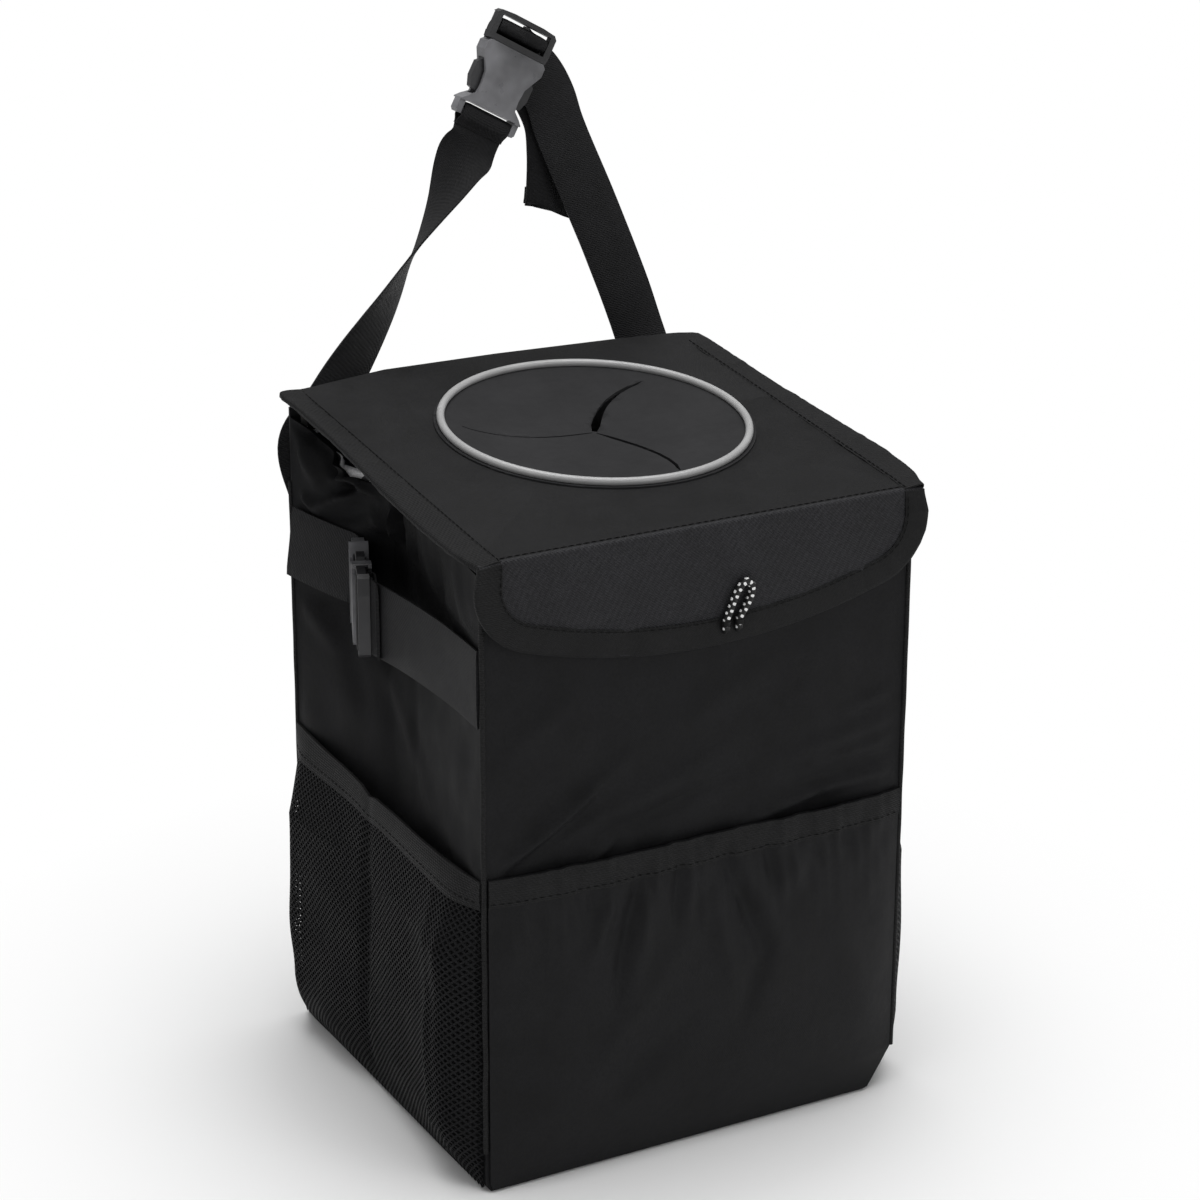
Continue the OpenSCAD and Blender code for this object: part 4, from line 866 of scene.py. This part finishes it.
def round_corners(part):
    """Draw the lid's four corners in: where each is, how far round it, by how much and which way."""
    co = np.empty(len(part.data.vertices) * 3)
    part.data.vertices.foreach_get("co", co)
    co = co.reshape(-1, 3) * 1000
    for x, s, far, size, way in ((-FLAP_HALF, -4.6, 9, 3.8, (0.75, 0.5, -0.45)),
                                 (FLAP_HALF, -4.6, 8, 2.4, (-0.75, 0.5, -0.45)),
                                 (-FLAP_HALF, LID_LEN, 4, 1.6, (0.7, -0.7, 0)),
                                 (FLAP_HALF, LID_LEN, 9, 3.4, (-0.7, -0.7, 0))):
        near = np.exp(-((np.linalg.norm(co - on_lid(x, s, 0), axis=1) / far) ** 2))
        co += near[:, None] * size * np.array(way)
    part.data.vertices.foreach_set("co", (co * 0.001).ravel())


for part in bpy.data.objects:
    if part.name.startswith(("lid_cloth", "lid_lining_cloth", "flap_", "left_lid_", "right_lid_")):
        round_corners(part)


# The inlet
def part_slits(co):
    """The petals' edges stand a little apart, most of all at two of the three slits."""
    u = co[:, 0] - RING_X
    v = (co[:, 1] + HD) * math.cos(TILT) + (co[:, 2] - FRONT_H) * math.sin(TILT) - RING_Y
    r, a = np.hypot(u, v), np.arctan2(v, u)
    out = co.copy()
    for k, amount in enumerate((0.6, 0.05, 0.55)):
        off = (a - np.radians(58 - 18 * (r / 57) ** 2 + 120 * k) + math.pi) % (2 * math.pi) - math.pi
        d = r * off
        push = amount * np.sign(d) * np.exp(-((d / 2.6) ** 2)) * smooth(r, 3, 9) * (1 - smooth(r, 51, 57))
        out[:, 0] -= push * np.sin(a)
        out[:, 1] += push * np.cos(a) * math.cos(TILT)
        out[:, 2] += push * np.cos(a) * math.sin(TILT)
    return out


rubber = boxy("inlet_rubber", "inlet_rubber_disc", RUBBER_M, step=4.0, move=part_slits)
put(rubber, "lid", "rubber", "inlet_rubber")


# The pull loop
LOOP = [[7, 234], [7, 238], [8.2, 240.9], [9.4, 243.8], [10.6, 246.8], [12.1, 249.7], [13.9, 252.1],
        [15.8, 253.3], [17.6, 253], [18.7, 251.2], [18.8, 248.7], [17.9, 245.9], [16.4, 243.2],
        [14.7, 240.6], [13.1, 238], [13.1, 234]]
CORD_R = 1.5
LOOP_Y = FLAP_Y - CLOTH - TAPE - CORD_R - 0.05


def elastic():
    """Black round elastic with white dots."""
    s = Shader("elastic")
    uv = s.node("SeparateXYZ", Vector=s.coords("UV"))
    along = s.math("SINE", s.math("MULTIPLY", uv.outputs[1], 2 * math.pi / 0.0031))
    around = s.math("COSINE", s.math("MULTIPLY", uv.outputs[0], 2 / (CORD_R * 0.001)))
    dot = s.math("MULTIPLY", along, around)
    mix = s.node("Mix", _data_type="RGBA", Factor=s.ramp(dot, 0.0, 1.0, 0.28, 0.42))
    mix.inputs["A"].default_value = (0.008, 0.008, 0.008, 1)
    mix.inputs["B"].default_value = (0.85, 0.85, 0.85, 1)
    return s.done(mix.outputs["Result"], 0.5, s.bump(dot, 0.0001, 0.4), 0.3)


def pull_loop():
    path = spline([[a, LOOP_Y, b, 0, 0, 0] for a, b in LOOP], 70)[:, :3]
    along = unit(np.gradient(path, axis=0))
    aside = flat_points(along[:, 2], -along[:, 0], 1)
    k = math.pi / 2 + np.linspace(0, 2 * math.pi, 16, endpoint=False)
    spokes = np.cos(k)[None, :, None] * aside[:, None] + np.sin(k)[None, :, None] * np.array([0, 1.0, 0])
    tube = path[:, None] + CORD_R * spokes
    at, _, quads = ring_grid(*tube.shape[:2])
    faces = [*quads, list(at[0]), list(at[-1][::-1])]
    around = np.broadcast_to(k * CORD_R, tube.shape[:2])
    uv = np.stack([around.ravel(), np.repeat(lengths(path[:, None], 0)[:, 0], len(k))], -1)
    cord = build("pull_loop_cord", tube.reshape(-1, 3), faces, elastic(), uv)
    put(cord, "lid", "elastic", "pull_loop")


def loop_seat(side, x):
    """The small sewn cone that a cord's end goes into."""
    k, z = np.meshgrid(np.linspace(0, 2 * math.pi, 16, endpoint=False), np.linspace(232, 238, 9))
    wide = (CORD_R + 0.45) * np.sin(np.linspace(0.35, 1.45, 9))[:, None]
    y = LOOP_Y + 1.2 * np.linspace(1, 0, 9)[:, None] ** 2
    seat, hollow = (np.stack([x + r * np.cos(k), y + r * np.sin(k), z], -1) for r in (wide, 0.4 * wide))
    put(slab(f"{side}_loop_seat", seat, hollow, TAPE_M, closed=True), "lid", "tape")


pull_loop()
loop_seat("left", LOOP[0][0])
loop_seat("right", LOOP[-1][0])


# The straps
SEWN_Y, HANG_Y, HANG_SLOPE = 94.3, 106.5, 0.04


def strap_y(z):
    """Depth of the hanging strap at height z: sewn to the back, then clear of the lid and leaning back."""
    free = np.clip((z - 262) / 38, 0, 1)
    return SEWN_Y * (1 - free) + (HANG_Y + HANG_SLOPE * (z - 300)) * free


BUCKLE_AT = np.array([4, strap_y(402.0), 402.0])
ROLL, LEAN = math.radians(29), math.atan(HANG_SLOPE)


def top_buckle(p):
    """Points of the buckle's own frame, in mm, as points of the row frame."""
    p = np.asarray(p, float)
    a = np.stack([p[..., 0] * math.cos(ROLL) + p[..., 2] * math.sin(ROLL), p[..., 1],
                  -p[..., 0] * math.sin(ROLL) + p[..., 2] * math.cos(ROLL)], -1)
    return BUCKLE_AT + np.stack([a[..., 0], a[..., 1] * math.cos(LEAN) + a[..., 2] * math.sin(LEAN),
                                 -a[..., 1] * math.sin(LEAN) + a[..., 2] * math.cos(LEAN)], -1)


BAR_WRAP = [[0.75, -4.5], [0.75, -3.4], [1.7, -1.9], [3.0, -0.2], [3.0, 3.2], [1.8, 4.8], [0, 5.1],
            [-1.8, 4.8], [-3.0, 3.2], [-3.0, -0.2], [-1.7, -1.9], [-0.75, -3.4], [-0.75, -4.5]]
# Way to the left across the buckle
MINUS_X = top_buckle([[-1, 0, 0]])[0] - BUCKLE_AT
# Where the tongue's frame begins and ends, along the buckle from the shell's rear bar
TURN_AT = SHELL_L + CLEAR
FAR = TURN_AT + FRAME_L
# Each row is x, z and the webbing's turn in degrees, up the strap as the photograph shows it
LEFT_RUN = np.array([[-88, 254, 0], [-91, 272, 0], [-80, 284, 4], [-67, 298, 12], [-51.6, 318, 30],
                     [-43, 330, 42], [-34.6, 343, 56], [-25, 357, 72], [-16, 370.5, 92], [-8, 384, 124],
                     [-0.6, 393.7, 180], [2.2, 399, 180]])
RIGHT_RUN = np.array([[86, 258, 17], [85, 280, 17], [81.5, 300, 17], [74.5, 320, 18], [67, 340, 20],
                      [59.5, 360, 21], [51.5, 380, 20], [45.5, 396, 12], [41.5, 409, -2], [35, 420, -16],
                      [25, 430, -27]])
TAIL_RUN = np.array([[23, 431, -28], [30, 421, -20], [37, 410, -14], [42, 398, -14], [43, 384, -18],
                     [42.4, 370, -22], [41.4, 359, -24]])
TOP_WRAP = [[6.3, 1], [4, 3.4], [0.6, 4.6], [-1.9, 5.4], [-2.6, 7.2], [-1.9, 9.2], [0.6, 9.9], [4.6, 9.7],
            [7.7, 7.4], [8, 3]]
SIDE_WRAP = [[5.1, FRAME_L + 8], [5.1, 7], [3.9, 5], [0.6, 4.6], [-1.9, 5.4], [-2.6, 7.2], [-1.9, 9.1],
             [0.6, 9.6], [2.7, 10.2], [3.6, 11.8], [3.6, FRAME_L + 0.5]]


def left_hanging_strap():
    x, z, turn = LEFT_RUN.T
    pts = np.stack([x, strap_y(z), z], -1)
    d = unit(np.gradient(pts, axis=0))
    aside = unit(flat_points(d[:, 2], -d[:, 0], 1))
    ang = np.radians(turn)[:, None]
    across = np.cos(ang) * aside + np.sin(ang) * np.cross(d, aside)
    pts[-2:] = top_buckle([[0, 0, -9.5], [0, 0, -3.6]])
    across[-2:] = MINUS_X
    left = ribbon("left_hanging_web", pts, across, WEB, WEB_T, WEB_M, 120)
    put(left, "bin", "webbing", "hanging_strap_left")
    wrap = top_buckle([[0, a, b] for a, b in BAR_WRAP])
    fold = ribbon("left_web_fold", wrap, np.tile(MINUS_X, (len(wrap), 1)), WEB, WEB_T, WEB_M, 60)
    put(fold, "bin", "webbing")


def right_hanging_strap():
    """From the bin up and round the tongue's frame, then down in a slanted tail with a turned end."""

    def run(rows, off):
        x, z, turn = rows.T
        ang = np.radians(turn)
        return np.stack([x, strap_y(z) + off(z), z], -1), flat_points(np.cos(ang), np.sin(ang), 1)

    main, across = run(RIGHT_RUN, lambda z: 6.3 * np.clip((z - 330) / 70, 0, 1))
    tail, tail_across = run(TAIL_RUN, lambda z: 8 + 0.5 * np.clip((420 - z) / 20, 0, 1))
    wrap = top_buckle([[0, a, TURN_AT + b] for a, b in TOP_WRAP])
    hem = tail[-1] + np.array([[-0.4, 0.9, -0.9], [0, 1.8, 0], [0.5, 1.8, 3.5], [1, 1.8, 9]])
    across = [across, np.tile(-MINUS_X, (len(wrap), 1)), tail_across, np.tile(tail_across[-1], (len(hem), 1))]
    right = ribbon("right_hanging_web", np.concatenate([main, wrap, tail, hem]), np.concatenate(across),
                   WEB, WEB_T, WEB_M, 240)
    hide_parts("hanging_strap_right")
    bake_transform(right)


left_hanging_strap()
right_hanging_strap()

SIDE_AT, TURN = np.array([-HW + 12.2, 49.7, SIDE_Z]), math.radians(22)


def side_buckle(back, along):
    """Point of the left side buckle's frame: back is inwards, along runs to the front."""
    back, along = np.asarray(back, float), np.asarray(along, float)
    return SIDE_AT + np.stack([back * math.cos(TURN) - along * math.sin(TURN),
                               -back * math.sin(TURN) - along * math.cos(TURN), np.zeros_like(back)], -1)


def rear_band():
    """The left rear strap's run, from the bin's rear corner along the cloth to the shell."""
    start = side_buckle(0.0, -4.5)
    y = np.linspace(SIDE_END - CLEAR, start[1] + 4, 6)
    k = np.linspace(0, 1, 6)
    cloth = fold_in(y, np.full(6, SIDE_Z - SIDE_WEB / 2))
    x = -HW + cloth - WEB_T / 2 - CLEAR - 0.7 * (1 - k)
    return np.concatenate([np.stack([x, y, SIDE_Z + SIDE_RISE * (1 - k * 5 / 6)], -1), start[None]])


def side_web(name, path, count):
    """Side webbing, which stands upright all along path."""
    return ribbon(name, path, np.tile([0, 0, 1.0], (len(path), 1)), SIDE_WEB, WEB_T, WEB_M, count)


def side_straps(hand, side):
    """Both halves of a side strap: the left side's runs, mirrored for the right."""
    flip = np.array([-hand, 1, 1])
    put(side_web(f"{side}_rear_web", rear_band() * flip, 40), "bin", "webbing", f"{side}_side_strap_rear")
    bar, far = (side_buckle(*np.array(rows).T) for rows in (BAR_WRAP, SIDE_WRAP + np.array([0, TURN_AT])))
    put(side_web(f"{side}_rear_web_fold", bar * flip, 60), "bin", "webbing")
    # The front half bows inwards a little on its way to the bin's front corner
    start, end = side_buckle(3.6, FAR), np.array([-HW - WEB_T / 2 - CLEAR, -SIDE_END + CLEAR, SIDE_Z])
    k = np.linspace(0, 1, 10)[1:, None]
    bow = start + (end - start) * k + np.array([2.5, 0, 0]) * np.sin(math.pi * k)
    front = side_web(f"{side}_front_web", np.concatenate([far, bow]) * flip, 130)
    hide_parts(f"{side}_side_strap_front")
    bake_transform(front)


for hand, side in SIDES:
    side_straps(hand, side)


# CAD nodes that stay in sight
def carry(names, mat, bevel=0.0):
    """Give CAD nodes a material, and round their edges a little."""
    for name in names:
        obj = nodes[name]
        obj.data.materials.clear()
        obj.data.materials.append(mat)
        if bevel:
            mod = obj.modifiers.new("round", "BEVEL")
            mod.width, mod.segments = bevel * 0.001, 3
            mod.limit_method, mod.angle_limit = "ANGLE", math.radians(35)
            mod.harden_normals = True


carry(["front_board", "back_board", "base_board", "lid_board"], BOARD_M)
carry(["inlet_ring"], RING_M)
# The shells take the lit copy of the buckle plastic and the tongues its shaded copy: painted light and
# painted shade on one plastic.
carry(["strap_shell", "left_side_shell", "right_side_shell"], BUCKLE_LIT_M, 0.55)
carry(["strap_tongue", "left_side_tongue", "right_side_tongue"], BUCKLE_SHADED_M, 0.55)


# Stage, light and camera
def make_floor():
    bpy.ops.mesh.primitive_plane_add(size=12, location=(0, 0, -0.0002))
    floor = bpy.context.object
    floor.name = "floor"
    s = Shader("floor")
    white = s.tint((0.92, 0.92, 0.92), s.ramp(s.noise(3.0, s.coords()), 0.995, 1.005))
    mat = s.done(white, 0.9, s.bump(s.noise(400.0, s.coords()), 0.00001, 0.1), 0.1)
    # Away from the bin the camera sees plain white, so that only the shadow near it shows
    away = s.node("VectorMath", _operation="LENGTH", i0=s.coords()).outputs["Value"]
    seen = s.node("LightPath").outputs["Is Camera Ray"]
    glow = s.node("Emission", Color=(1, 1, 1, 1), Strength=1.0)
    plain = s.math("MULTIPLY", s.ramp(away, 0.0, 1.0, 0.14, 0.34), seen)
    mixed = s.node("MixShader", Fac=plain, i1=s.bsdf.outputs[0], i2=glow.outputs[0])
    s.tree.links.new(mixed.outputs[0], s.tree.nodes["Material Output"].inputs["Surface"])
    floor.data.materials.append(mat)


def make_world():
    """A white studio: full white where the camera sees it, dimmer as a light."""
    world = bpy.data.worlds.new("studio")
    bpy.context.scene.world = world
    world.use_nodes = True
    tree = world.node_tree
    back = tree.nodes["Background"]
    back.inputs["Color"].default_value = (1, 1, 1, 1)
    seen = tree.nodes.new("ShaderNodeLightPath")
    grade = tree.nodes.new("ShaderNodeMapRange")
    grade.inputs["To Min"].default_value = 0.36
    grade.inputs["To Max"].default_value = 1.0
    tree.links.new(seen.outputs["Is Camera Ray"], grade.inputs["Value"])
    tree.links.new(grade.outputs[0], back.inputs["Strength"])


def aimed(name, data, at, aim):
    obj = bpy.data.objects.new(name, data)
    obj.location = at
    obj.rotation_mode = "QUATERNION"
    obj.rotation_quaternion = (Vector(aim) - Vector(at)).to_track_quat("-Z", "Y")
    bpy.context.scene.collection.objects.link(obj)
    return obj


def lamp(name, at, size, power):
    data = bpy.data.lights.new(name, "AREA")
    data.shape, data.size, data.size_y, data.energy = "RECTANGLE", size[0], size[1], power
    aimed(name, data, at, (0, 0, 0.18))


def make_camera():
    """The photograph's view, with the long lens that its perspective shows."""
    data = bpy.data.cameras.new("camera")
    data.sensor_width, data.lens = 36, 97.11
    data.shift_x, data.shift_y = 0.0283, -0.0337
    data.clip_start, data.clip_end = 0.05, 30
    bpy.context.scene.camera = aimed("camera", data, (-0.6281, -1.1457, 0.7031), (-0.0131, 0.0, 0.2361))


make_floor()
make_world()
lamp("top", (0.1, 0.1, 1.9), (1.6, 1.6), 30)
lamp("left", (-1.9, -0.7, 0.9), (1.2, 1.4), 3)
lamp("front", (0.9, -2.0, 1.0), (1.4, 1.2), 8)
make_camera()
bpy.context.scene.view_settings.view_transform = "Standard"
